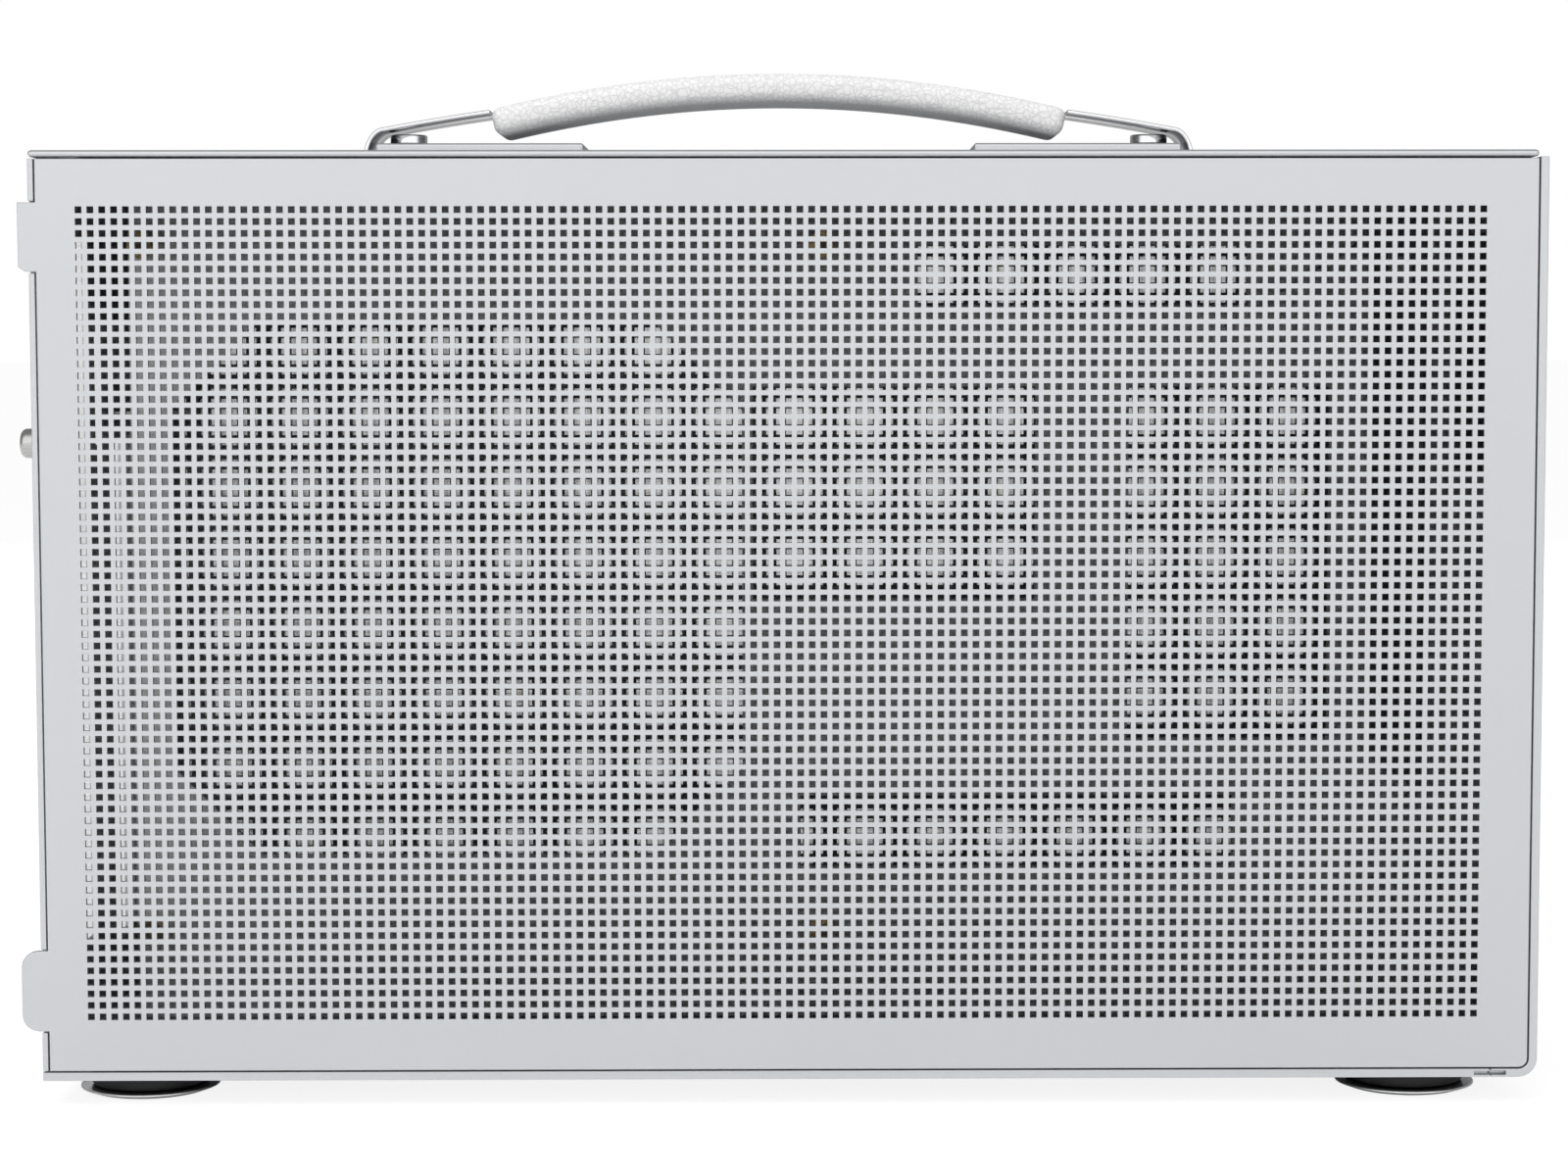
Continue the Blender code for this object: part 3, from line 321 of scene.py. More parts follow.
def make_handled_surface():
    """Soft cloudy patches, strong in a few places and absent in most, as hands and cloths leave them."""
    sockets = [("Place", "NodeSocketVector", None), ("Patches per metre", "NodeSocketFloat", 14.0)]
    group, start, end = new_group("handled_surface", sockets, [("Mask", "NodeSocketFloat")])
    wide = noise_node(group, 1.0, 4.0, 0.55)
    group.links.new(start.outputs["Place"], wide.inputs["Vector"])
    group.links.new(start.outputs["Patches per metre"], wide.inputs["Scale"])
    mask = map_node(group, 0.45, 0.75, 0.0, 1.0)
    group.links.new(wide.outputs["Fac"], mask.inputs["Value"])
    group.links.new(mask.outputs["Result"], end.inputs["Mask"])
    return group


FINE_GRAIN = make_fine_grain()
HANDLED = make_handled_surface()
print("groups:", FINE_GRAIN.name, HANDLED.name)

# %% Building blocks for the materials
def new_material(name, metallic=0.0, coat=0.0):
    """A material, its node tree, its Principled shader and its object coordinates."""
    material = bpy.data.materials.new(name)
    material.use_nodes = True
    tree = material.node_tree
    shader = tree.nodes["Principled BSDF"]
    shader.inputs["Metallic"].default_value = metallic
    shader.inputs["Coat Weight"].default_value = coat
    place = tree.nodes.new("ShaderNodeTexCoord").outputs["Object"]
    return material, tree, shader, place


def use_group(tree, group, place, label, value):
    """Places a shared effect in a material with its own scale."""
    node = tree.nodes.new("ShaderNodeGroup")
    node.node_tree = group
    node.inputs[label].default_value = value
    tree.links.new(place, node.inputs["Place"])
    return node


def mix_colours(tree, mask, low, high, target):
    """Runs a mask between two colours into a socket."""
    node = tree.nodes.new("ShaderNodeMix")
    node.data_type = "RGBA"
    node.inputs["A"].default_value = (*low, 1)
    node.inputs["B"].default_value = (*high, 1)
    tree.links.new(mask, node.inputs["Factor"])
    tree.links.new(node.outputs["Result"], target)
    return node


def add_relief(tree, shader, height, strength, distance):
    """Bumps a surface by a height."""
    bump = tree.nodes.new("ShaderNodeBump")
    bump.inputs["Strength"].default_value = strength
    bump.inputs["Distance"].default_value = distance
    tree.links.new(height, bump.inputs["Height"])
    tree.links.new(bump.outputs["Normal"], shader.inputs["Normal"])
    return bump


def speckled(name, low, high, rough, metallic, grains, relief, patches=14.0, coat=0.0):
    """A finish with fine grain: grain moves the colour, and handled patches move the roughness."""
    material, tree, shader, place = new_material(name, metallic, coat)
    grain = use_group(tree, FINE_GRAIN, place, "Grains per metre", grains)
    hands = use_group(tree, HANDLED, place, "Patches per metre", patches)
    mix_colours(tree, grain.outputs["Mask"], low, high, shader.inputs["Base Color"])
    shine = map_node(tree, 0.0, 1.0, rough[0], rough[1])
    tree.links.new(hands.outputs["Mask"], shine.inputs["Value"])
    tree.links.new(shine.outputs["Result"], shader.inputs["Roughness"])
    add_relief(tree, shader, grain.outputs["Height"], relief, 0.0001)
    return material

# %% [markdown]
# ## Metal finishes
#
# The shell is bead-blasted and anodised: cool, light and even, with a grain finer than a hair. The rails
# and brackets inside are coloured near black, which is painted shade for the dim inside of the case, and
# the upright sheet between the two bays is bare. Both are rolled, with fine lines along the X axis, and
# the steel of screws and studs has shorter ones. Such lines come from a noise that is stretched far along
# one direction by a Mapping node.

# %% Blasted, polished and moulded finishes
SILVER = ((0.60, 0.615, 0.63), (0.655, 0.67, 0.685))
BRIGHT = ((0.74, 0.74, 0.75), (0.80, 0.80, 0.81))
BLACK_PLASTIC = ((0.010, 0.010, 0.011), (0.020, 0.020, 0.021))
BLACK_RUBBER = ((0.008, 0.008, 0.008), (0.018, 0.018, 0.019))
YELLOW_BRASS = ((0.60, 0.43, 0.20), (0.72, 0.54, 0.27))
ANODISED = speckled("anodised_sheet", *SILVER, (0.40, 0.33), 0.88, 5200.0, 0.10)
TRIM = speckled("polished_trim", *BRIGHT, (0.10, 0.17), 1.0, 900.0, 0.02)
MOULDING = speckled("black_moulding", *BLACK_PLASTIC, (0.42, 0.5), 0.0, 3800.0, 0.35)
RUBBER = speckled("foot_rubber", *BLACK_RUBBER, (0.62, 0.78), 0.0, 2600.0, 0.4)
BRASS = speckled("standoff_brass", *YELLOW_BRASS, (0.2, 0.32), 1.0, 2400.0, 0.05)

# %% Lined finishes
def lined(name, low, high, rough, stretch, relief, metallic=1.0):
    """A finish with fine straight lines: noise on coordinates that are stretched along one axis."""
    material, tree, shader, place = new_material(name, metallic)
    mapping = tree.nodes.new("ShaderNodeMapping")
    mapping.inputs["Scale"].default_value = stretch
    tree.links.new(place, mapping.inputs["Vector"])
    lines = noise_node(tree, 1.0, 4.0, 0.6)
    tree.links.new(mapping.outputs["Vector"], lines.inputs["Vector"])
    mask = map_node(tree, 0.3, 0.7, 0.0, 1.0)
    tree.links.new(lines.outputs["Fac"], mask.inputs["Value"])
    mix_colours(tree, mask.outputs["Result"], low, high, shader.inputs["Base Color"])
    shine = map_node(tree, 0.0, 1.0, rough[0], rough[1])
    tree.links.new(mask.outputs["Result"], shine.inputs["Value"])
    tree.links.new(shine.outputs["Result"], shader.inputs["Roughness"])
    add_relief(tree, shader, lines.outputs["Fac"], relief, 0.0001)
    return material


ROLLED = (60, 2500, 2500)
# painted shade: near-black greys for the inner rails and brackets stand in for the dim light inside the case
PAINTED_SHADE_GREYS = ((0.045, 0.047, 0.05), (0.065, 0.067, 0.07))
BARE_SHEET = ((0.58, 0.585, 0.59), (0.66, 0.665, 0.67))
FRAME_ALLOY = lined("frame_alloy", *PAINTED_SHADE_GREYS, (0.42, 0.52), ROLLED, 0.08, 0.6)
TRAY_SHEET = lined("tray_sheet", *BARE_SHEET, (0.40, 0.5), ROLLED, 0.08, 0.6)
STEEL = lined("screw_steel", (0.50, 0.50, 0.50), (0.62, 0.62, 0.61), (0.22, 0.34), (300, 5000, 5000), 0.06)

# %% [markdown]
# ## Leather
#
# The strap is covered in pale grey leather. Its grain is a mesh of small raised cells with creases
# between them, which a Voronoi texture's distance to the cell edge gives directly. A coarser noise bends
# the cells so that they aren't all alike, and darkens the creases a little, because dust and shade gather
# there.

# %% Leather grain
def make_leather():
    """Pale leather: cells from the distance to Voronoi edges, bent by noise, with darker creases."""
    material, tree, shader, place = new_material("grip_leather")
    bend = noise_node(tree, 380.0, 3.0)
    shift = tree.nodes.new("ShaderNodeVectorMath")
    shift.operation = "SCALE"
    shift.inputs["Scale"].default_value = 0.0022
    tree.links.new(place, bend.inputs["Vector"])
    tree.links.new(bend.outputs["Color"], shift.inputs[0])
    moved = tree.nodes.new("ShaderNodeVectorMath")
    moved.operation = "ADD"
    tree.links.new(place, moved.inputs[0])
    tree.links.new(shift.outputs["Vector"], moved.inputs[1])
    cells = tree.nodes.new("ShaderNodeTexVoronoi")
    cells.feature = "DISTANCE_TO_EDGE"
    cells.inputs["Scale"].default_value = 760.0
    tree.links.new(moved.outputs["Vector"], cells.inputs["Vector"])
    crease = map_node(tree, 0.0, 0.14, 0.0, 1.0)
    tree.links.new(cells.outputs["Distance"], crease.inputs["Value"])
    creased, raised = (0.66, 0.655, 0.655), (0.80, 0.795, 0.80)
    mix_colours(tree, crease.outputs["Result"], creased, raised, shader.inputs["Base Color"])
    hands = use_group(tree, HANDLED, place, "Patches per metre", 60.0)
    shine = map_node(tree, 0.0, 1.0, 0.62, 0.48)
    tree.links.new(hands.outputs["Mask"], shine.inputs["Value"])
    tree.links.new(shine.outputs["Result"], shader.inputs["Roughness"])
    add_relief(tree, shader, crease.outputs["Result"], 0.35, 0.00025)
    return material


LEATHER = make_leather()

# %% [markdown]
# ## Circuit board
#
# The boards carry a dark solder mask over copper tracks. A brick texture stretched along one direction
# gives runs of parallel tracks broken at intervals, and a second mask sprinkles small bright pads.

# %% Solder mask with tracks
def make_board():
    """Dark green-black mask with slightly lighter tracks and a few tinned pads."""
    material, tree, shader, place = new_material("circuit_board", coat=0.25)
    tracks = tree.nodes.new("ShaderNodeTexBrick")
    tracks.inputs["Scale"].default_value = 260.0
    tracks.inputs["Mortar Size"].default_value = 0.035
    tracks.inputs["Brick Width"].default_value = 1.6
    tracks.inputs["Color1"].default_value = (0.008, 0.022, 0.014, 1)
    tracks.inputs["Color2"].default_value = (0.011, 0.030, 0.019, 1)
    tracks.inputs["Mortar"].default_value = (0.018, 0.050, 0.030, 1)
    turn = tree.nodes.new("ShaderNodeMapping")
    turn.inputs["Rotation"].default_value = (0, math.radians(90), math.radians(90))
    tree.links.new(place, turn.inputs["Vector"])
    tree.links.new(turn.outputs["Vector"], tracks.inputs["Vector"])
    pads = tree.nodes.new("ShaderNodeTexVoronoi")
    pads.inputs["Scale"].default_value = 240.0
    tree.links.new(place, pads.inputs["Vector"])
    dots = map_node(tree, 0.16, 0.20, 1.0, 0.0)
    tree.links.new(pads.outputs["Distance"], dots.inputs["Value"])
    mix = tree.nodes.new("ShaderNodeMix")
    mix.data_type = "RGBA"
    mix.inputs["B"].default_value = (0.55, 0.56, 0.55, 1)
    tree.links.new(dots.outputs["Result"], mix.inputs["Factor"])
    tree.links.new(tracks.outputs["Color"], mix.inputs["A"])
    tree.links.new(mix.outputs["Result"], shader.inputs["Base Color"])
    shine = map_node(tree, 0.0, 1.0, 0.38, 0.25)
    tree.links.new(dots.outputs["Result"], shine.inputs["Value"])
    tree.links.new(shine.outputs["Result"], shader.inputs["Roughness"])
    add_relief(tree, shader, tracks.outputs["Fac"], 0.2, 0.00003)
    return material


BOARD = make_board()
print("materials:", len(bpy.data.materials))

# %% Give every carried node its finish
FINISH = {
    "anodised_sheet": ANODISED,
    "polished_trim": TRIM,
    "black_moulding": MOULDING,
    "foot_rubber": RUBBER,
    "standoff_brass": BRASS,
    "frame_alloy": FRAME_ALLOY,
    "screw_steel": STEEL,
    "grip_leather": LEATHER,
    "circuit_board": BOARD,
}
SLOT_OF = {entry["node"]: entry["material_slot"] for entry in frame["record"]["subparts"]}


def paint(piece, material):
    """Gives a piece one material on all its faces."""
    piece.data.materials.clear()
    piece.data.materials.append(material)
    return piece


for node, thing in frame["nodes"].items():
    if SLOT_OF[node] in FINISH:
        paint(thing, FINISH[SLOT_OF[node]])
print("painted", len(frame["nodes"]), "nodes")

# %% [markdown]
# ## Sheet with soft edges
#
# Cut sheet never has razor edges: blasting and anodising leave a rounded rim of a few tenths of a
# millimetre, and that rim is what catches the light as a thin bright line round the case. The plates keep
# the exact form of their nodes. A merged copy of each node's mesh has its flat regions joined into single
# faces, and a Bevel modifier rounds what is left. The node itself stays untouched behind its copy.

# %% Copies of nodes with rounded rims
def merged_mesh(node):
    """Points and faces of a node with its doubles merged and its flat regions joined."""
    shape = bmesh.new()
    shape.from_mesh(frame["nodes"][node].data)
    bmesh.ops.remove_doubles(shape, verts=shape.verts, dist=0.000002)
    bmesh.ops.dissolve_limit(shape, angle_limit=math.radians(1.0), verts=shape.verts, edges=shape.edges)
    shape.verts.index_update()
    points = [tuple(v.co) for v in shape.verts]
    faces = [[v.index for v in f.verts] for f in shape.faces]
    shape.free()
    return points, faces


def soft_copy(node, width, segments=3, angle=35):
    """A copy of a node with its flat faces joined and its edges rounded by a width in millimetres."""
    points, faces = merged_mesh(node)
    piece = add_piece(node + "_finished", points, faces, smooth_angle=angle)
    rim = piece.modifiers.new("soft_rim", "BEVEL")
    rim.width = width * MM
    rim.segments = segments
    rim.limit_method = "ANGLE"
    rim.angle_limit = math.radians(angle)
    rim.harden_normals = True
    paint(piece, FINISH[SLOT_OF[node]])
    return finish_piece(piece, body_of_node(node), SLOT_OF[node], node)


def body_of_node(node):
    """Name of the body that a node belongs to."""
    for body, members in frame["record"]["behaviour"]["bodies"].items():
        if node in members:
            return body
    raise KeyError(node)


SOFT = {
    "top_plate": 0.8,
    "bottom_plate": 0.2,
    "front_plate": 0.3,
    "rear_plate": 0.4,
    "handle_base_front": 0.7,
    "handle_base_rear": 0.7,
    "motherboard_tray": 0.25,
    "psu_bracket": 0.3,
    "riser_bracket": 0.3,
    "slot_shelf": 0.3,
    "slot_clamp": 0.3,
    "mains_inlet": 0.5,
    "usb_a_socket": 0.12,
    "usb_c_socket": 0.12,
    "riser_slot": 0.2,
}
for node, width in SOFT.items():
    soft_copy(node, width)
paint(bpy.data.objects["motherboard_tray_finished"], TRAY_SHEET)
print("softened", len(SOFT), "plates and housings")

# %% [markdown]
# ## The pierced panels
#
# Each side panel is one sheet with 120 by 70 square holes on an even pitch, and two tabs at its rear
# edge. Cutting 8400 holes with Booleans would take minutes. Instead the holes are part of a grid: its
# lines run along both edges of every hole, so a hole is simply a cell that is left out, with four small
# walls through the sheet. The margin between the outermost holes and the outline is filled by triangles,
# and the outline's rim is rounded by three rings, each a little further in and a little further out of
# the sheet than the last.

# %% Outline of a panel, read from its node
def panel_outline(node):
    """Corner points of a panel in XZ, in order round it. The edges between faces of its outer side and faces
    of its rim are followed from one to the next."""
    shape = bmesh.new()
    shape.from_mesh(frame["nodes"][node].data)
    bmesh.ops.remove_doubles(shape, verts=shape.verts, dist=0.000002)
    low = min(v.co.y for v in shape.verts)
    flat = {f for f in shape.faces if all(abs(v.co.y - low) < 1e-6 for v in f.verts)}
    rim = [e for e in shape.edges if sum(f in flat for f in e.link_faces) == 1]
    follow = {}
    for edge in rim:
        first, second = edge.verts
        follow.setdefault(first, []).append(second)
        follow.setdefault(second, []).append(first)
    start = rim[0].verts[0]
    loop = [start, follow[start][0]]
    while loop[-1] is not start:
        ahead = [v for v in follow[loop[-1]] if v is not loop[-2]]
        loop.append(ahead[0])
    points = np.array([(v.co.x, v.co.z) for v in loop[:-1]])
    shape.free()
    return points if signed_area(points) > 0 else points[::-1]


def signed_area(points):
    """Area of a loop, positive when it runs anticlockwise."""
    after = np.roll(points, -1, axis=0)
    return 0.5 * np.sum(points[:, 0] * after[:, 1] - after[:, 0] * points[:, 1])


def inset(points, distance):
    """The loop moved inwards: each corner slides along the line that halves its angle."""
    along = np.roll(points, -1, axis=0) - points
    along /= np.linalg.norm(along, axis=1, keepdims=True)
    before = np.roll(along, 1, axis=0)
    normal = np.stack([-along[:, 1], along[:, 0]], axis=-1)
    normal_before = np.stack([-before[:, 1], before[:, 0]], axis=-1)
    half = normal + normal_before
    scale = distance / np.clip((half * normal).sum(axis=1), 0.4, None)
    return points + half * scale[:, None]

# %% A sheet with a grid of square holes
HOLE_COLUMNS = 120
HOLE_ROWS = 70
HOLE_PITCH = 2.5 * MM
HOLE_SIZE = 1.45 * MM
FRONT_MARGIN = 11.775 * MM
TOP_MARGIN = 10.75 * MM
RIM = 0.25 * MM


def hole_lines(first, count):
    """Positions of both edges of each hole along one direction, in rising order."""
    centres = first + HOLE_PITCH * np.arange(count)
    return np.stack([centres - HOLE_SIZE / 2, centres + HOLE_SIZE / 2], axis=-1).ravel()


def lattice_corners(node):
    """The lines of the hole grid along X and along Z, measured from the panel's front and top edges."""
    high = span(node)[1]
    last_x = high[0] - FRONT_MARGIN
    last_z = high[2] - TOP_MARGIN
    xs = hole_lines(last_x - HOLE_PITCH * (HOLE_COLUMNS - 1), HOLE_COLUMNS)
    zs = hole_lines(last_z - HOLE_PITCH * (HOLE_ROWS - 1), HOLE_ROWS)
    return xs, zs


def edge_loop(rows, columns):
    """Numbers of the points round a grid, anticlockwise from its first corner."""
    number = np.arange(rows * columns).reshape(rows, columns)
    return np.concatenate([number[0, :-1], number[:-1, -1], number[-1, :0:-1], number[:0:-1, 0]])


def pierced_panel(node, side):
    """A pierced sheet. side is -1 where its outer face looks along -Y, and 1 where it looks along +Y. Its
    points are the hole grid on the outer face, the same grid on the inner face, and then the rings of the
    rim, where ring k is inset by RIM * (1 - sin a) at depth RIM * (1 - cos a)."""
    low, high = span(node)
    outer_y, inner_y = (low[1], high[1]) if side < 0 else (high[1], low[1])
    into = np.sign(inner_y - outer_y)
    xs, zs = lattice_corners(node)
    rows, columns = len(zs), len(xs)
    grid = np.stack(np.meshgrid(xs, zs), axis=-1).reshape(-1, 2)
    outline = panel_outline(node)
    angles = np.radians([0, 30, 60, 90])
    rings = []
    for a in angles:
        rings.append((inset(outline, RIM * (1 - math.sin(a))), outer_y + into * RIM * (1 - math.cos(a))))
    rings += [(flat, inner_y - (y - outer_y)) for flat, y in rings[::-1]]
    layers = [(grid, outer_y), (grid, inner_y)] + rings
    points = np.vstack([np.insert(flat, 1, y, axis=1) for flat, y in layers])

    count = len(grid)
    cells = grid_faces(rows, columns, around=False).reshape(rows - 1, columns - 1, 4)
    open_cell = (np.arange(rows - 1)[:, None] % 2 == 0) & (np.arange(columns - 1)[None, :] % 2 == 0)
    sheet = cells[~open_cell]
    holes = cells[open_cell]
    after = np.roll(holes, -1, axis=1)
    walls = np.stack([holes, after, after + count, holes + count], axis=-1).reshape(-1, 4)
    margin = margin_triangles(rings[0][0], grid, edge_loop(rows, columns), 2 * count)
    last_ring = 2 * count + (len(rings) - 1) * len(outline)
    margin_inside = np.where(margin >= 2 * count, margin - 2 * count + last_ring, margin + count)
    rim = grid_faces(len(rings), len(outline)) + 2 * count
    flat_faces = []
    for group in (sheet, sheet + count, walls, margin, margin_inside):
        flat_faces += group.tolist()
    piece = add_piece(node + "_pierced", points, flat_faces + rim.tolist())
    piece.data.polygons.foreach_set("use_smooth", np.arange(len(piece.data.polygons)) >= len(flat_faces))
    face_outwards(piece)
    paint(piece, ANODISED)
    return finish_piece(piece, node, "anodised_sheet", node)


def margin_triangles(rim, grid, border, rim_start):
    """Triangles between the innermost ring of the rim and the outermost lines of the hole grid."""
    loops = [[Vector((x, z, 0)) for x, z in rim], [Vector((x, z, 0)) for x, z in grid[border]]]
    number = np.concatenate([rim_start + np.arange(len(rim)), border])
    return number[np.array(tessellate_polygon(loops))]


for node, side in (("near_panel", -1), ("far_panel", 1)):
    panel = pierced_panel(node, side)
    print(panel.name, len(panel.data.polygons), "faces")

# %% [markdown]
# ## Dust filters
#
# Behind each pierced sheet lies a filter of fine black nylon mesh. Its threads are a few hundredths of a
# millimetre, far too many to model, so the weave is a pattern of opacity on a plain sheet: two wave
# textures, one for each direction of thread, and the surface is open wherever neither thread runs. The
# near filter is the more open one. The black threads are partly painted shade: their cover, closer on
# the far filter, dims what is seen through the holes as the shade inside the case does.

# %% Woven mesh
THREADS_PER_METRE = 4000.0


def make_filter_mesh_with_shade(name, clear):
    """Black threads in two directions, with clear gaps between them. A wave of N threads per metre needs the
    scale pi * N / 10, and the gap is the part of the wave above (1 + cos(pi * clear)) / 2."""
    material, tree, shader, place = new_material(name)
    edge = 0.5 + 0.5 * math.cos(math.pi * clear)
    masks = []
    for direction in ("X", "Z"):
        wave = tree.nodes.new("ShaderNodeTexWave")
        wave.bands_direction = direction
        wave.inputs["Scale"].default_value = math.pi * THREADS_PER_METRE / 10
        tree.links.new(place, wave.inputs["Vector"])
        thread = map_node(tree, edge - 0.01, edge + 0.01, 1.0, 0.0)
        tree.links.new(wave.outputs["Fac"], thread.inputs["Value"])
        masks.append(thread.outputs["Result"])
    cover = tree.nodes.new("ShaderNodeMath")
    cover.operation = "MAXIMUM"
    tree.links.new(masks[0], cover.inputs[0])
    tree.links.new(masks[1], cover.inputs[1])
    tree.links.new(cover.outputs[0], shader.inputs["Alpha"])
    grain = use_group(tree, FINE_GRAIN, place, "Grains per metre", 2500.0)
    dark, less_dark = (0.006, 0.006, 0.006), (0.014, 0.014, 0.014)
    mix_colours(tree, grain.outputs["Mask"], dark, less_dark, shader.inputs["Base Color"])
    shine = map_node(tree, 0.0, 1.0, 0.5, 0.65)
    tree.links.new(grain.outputs["Mask"], shine.inputs["Value"])
    tree.links.new(shine.outputs["Result"], shader.inputs["Roughness"])
    return material


# partly painted shade: the black weave, closer on the far filter, darkens the view into the case as its shade
# does
for node, clear in (("near_dust_filter", 0.90), ("far_dust_filter", 0.78)):
    paint(frame["nodes"][node], make_filter_mesh_with_shade(node + "_mesh", clear))

# %% [markdown]
# ## The strap handle
#
# The grip is a strip of leather-covered foam, arched so that it rises above the case. Its edges are fully
# rounded, as a folded and glued strap's are, so the section is a wide, soft rectangle carried along the
# arch. At both ends the section shrinks over the last few millimetres, which rounds the strap off as
# stitched ends are.

# %% Leather grip
GRIP_LOW, GRIP_HIGH = span("handle_grip")
GRIP_MIDDLE = middle("handle_grip")
GRIP_T = 6.5 * MM
GRIP_END_DROP = 7.98 * MM
GRIP_HALF = (GRIP_HIGH[0] - GRIP_LOW[0]) / 2
ARCH_STEPS = 60


def grip_heights(x):
    """Height of the grip's middle line at a distance x from its middle: a parabola."""
    return GRIP_HIGH[2] - GRIP_T / 2 - GRIP_END_DROP * (x / GRIP_HALF) ** 2


def normals_in_xz(path):
    """Unit vectors at right angles to a path that lies in XZ, pointing up."""
    along = np.gradient(path, axis=0)
    up = np.stack([-along[:, 2], np.zeros(len(path)), along[:, 0]], axis=-1)
    up *= np.sign(along[:, :1].sum())
    return up / np.linalg.norm(up, axis=1, keepdims=True)


def make_grip():
    """The arch, with sections that shrink towards both ends like a quarter circle."""
    end_round = 2.2 * MM
    reach = GRIP_HALF - 0.25 * MM
    turn = np.radians(np.linspace(0, 84, 9))
    near_end = reach - end_round * (1 - np.sin(turn))
    x = np.concatenate([-near_end[::-1], np.linspace(-near_end[0], near_end[0], ARCH_STEPS)[1:-1], near_end])
    shrink = end_round * (1 - np.cos(turn))
    cut = np.concatenate([shrink[::-1], np.zeros(ARCH_STEPS - 2), shrink])
    path = np.stack([GRIP_MIDDLE[0] + x, np.zeros(len(x)), grip_heights(x)], axis=-1)
    width = GRIP_HIGH[1] - GRIP_LOW[1]
    thickness = GRIP_T - 0.1 * MM
    radius = thickness / 2 - 0.6 * MM
    sections = [rounded_section(width - 2 * c, thickness - 2 * c, radius - c, 8) for c in cut]
    piece = carried("handle_grip_leather", sections, path, np.array([0.0, 1.0, 0.0]), normals_in_xz(path))
    paint(piece, LEATHER)
    return finish_piece(piece, "handle_grip", "grip_leather", "handle_grip")


make_grip()

# %% [markdown]
# ## Bands, bosses and feet
#
# A spring-steel band runs inside the grip and comes out at both ends, crosses a polished boss and bends
# down to the case. On the real case it follows the grip when the handle is lifted and stays fixed where
# it meets the case; here each band is drawn once, at rest. The bosses and the feet are turned parts. A
# foot is a black rubber dome that stands through a bright ring.

# %% Bands from the grip down to the case
GRIP_LINE = 64.0 * MM
BAND_T = 1.0 * MM
BAND_EDGE = 0.3 * MM
BAND_CLEAR = 0.6 * MM
BAND_BEND = GRIP_LINE + 25.2 * MM
BAND_CURL = 4.3 * MM
BAND_RISE = 15.95 * MM
BAND_END_RISE = 7.53 * MM
BAND_LIFT = 0.3 * MM


def make_band(node, side):
    """The node's shape with finer steps along it, so that it bends smoothly: a parabola as far as the boss,
    and then a quarter of an ellipse down to the case."""
    slope = 2 * GRIP_END_DROP / GRIP_LINE
    x = np.linspace(GRIP_LINE + slope * GRIP_T / 2 + BAND_CLEAR, BAND_BEND, 24)
    z = TOP_Z + BAND_RISE - (BAND_RISE - BAND_END_RISE) * (x / BAND_BEND) ** 2
    turn = np.radians(np.linspace(0, 90, 13))[1:]
    foot = TOP_Z + BAND_LIFT + BAND_T / 2
    x = np.concatenate([x, BAND_BEND + BAND_CURL * np.sin(turn)])
    z = np.concatenate([z, foot + (z[-1] - foot) * np.cos(turn)])
    path = np.stack([GRIP_MIDDLE[0] + side * x, np.zeros(len(x)), z], axis=-1)
    low, high = span(node)
    sections = [rounded_section(high[1] - low[1], BAND_T, BAND_EDGE, 3)] * len(path)
    up = normals_in_xz(path)
    piece = carried(node + "_spring", sections, path, np.array([0.0, 1.0, 0.0]), up)
    paint(piece, TRIM)
    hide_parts(node)
    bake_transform(piece)
    return piece


for node, side in (("handle_band_rear", -1), ("handle_band_front", 1)):
    make_band(node, side)

# %% Bosses
for node in ("handle_boss_rear", "handle_boss_front"):
    low, high = span(node)
    tall = (high[2] - low[2]) / MM
    radius = (high[0] - low[0]) / 2 / MM
    profile = [(0, 0), (radius - 0.3, 0), (radius, 0.3), (radius, tall - 0.4)]
    profile += arc((radius - 0.4, tall - 0.4), 0.4, 30, 90, 2) + [(0, tall)]
    place = np.array([(low[0] + high[0]) / 2, (low[1] + high[1]) / 2, low[2]])
    boss = turned(node + "_turned", profile, place, "+Z", 48)
    finish_piece(paint(boss, TRIM), "chassis", "polished_trim", node)

# %% Feet
def make_foot(number):
    """Rubber dome and metal ring of one foot. The dome bulges a little under its upper edge, draws in to a
    neck, and stands on a flat rim round a hollow. The ring's side falls inwards under a rounded upper lip."""
    pad, ring = "foot_pad_%d" % number, "foot_ring_%d" % number
    low, high = span(ring)
    place = np.array([(low[0] + high[0]) / 2, (low[1] + high[1]) / 2, 0])
    bottom, top = low[2] / MM, high[2] / MM
    outer = (high[0] - low[0]) / 2 / MM
    lip = 0.35
    profile = [(10.3, bottom + 0.1), (10.4, bottom), (outer - 2.3, bottom), (outer - 2.1, bottom + 0.08)]
    profile += arc((outer - lip, top - lip), lip, -20, 90, 5) + [(10.4, top), (10.3, top - 0.1)]
    piece = ring_turned(ring + "_turned", profile, place, "+Z", 96)
    finish_piece(paint(piece, TRIM), "chassis", "polished_trim", ring)
    top = FLOOR_Z / MM - 0.3
    shoulder = high[2] / MM + 0.3
    swell = np.radians(np.linspace(0, 90, 10))
    side = [(12.2 + 0.95 * math.sin(a), shoulder + 1.9 * (1 - math.cos(a))) for a in swell]
    profile = [(0, 1.2), (4.0, 1.2), (4.0, 0.2), (4.2, 0), (9.7, 0), (10.0, 0.3), (10.0, shoulder)] + side
    profile += [(13.15, top - 0.2), (12.95, top), (0, top)]
    piece = turned(pad + "_moulded", profile, place, "+Z", 96)
    finish_piece(paint(piece, RUBBER), "chassis", "foot_rubber", pad)


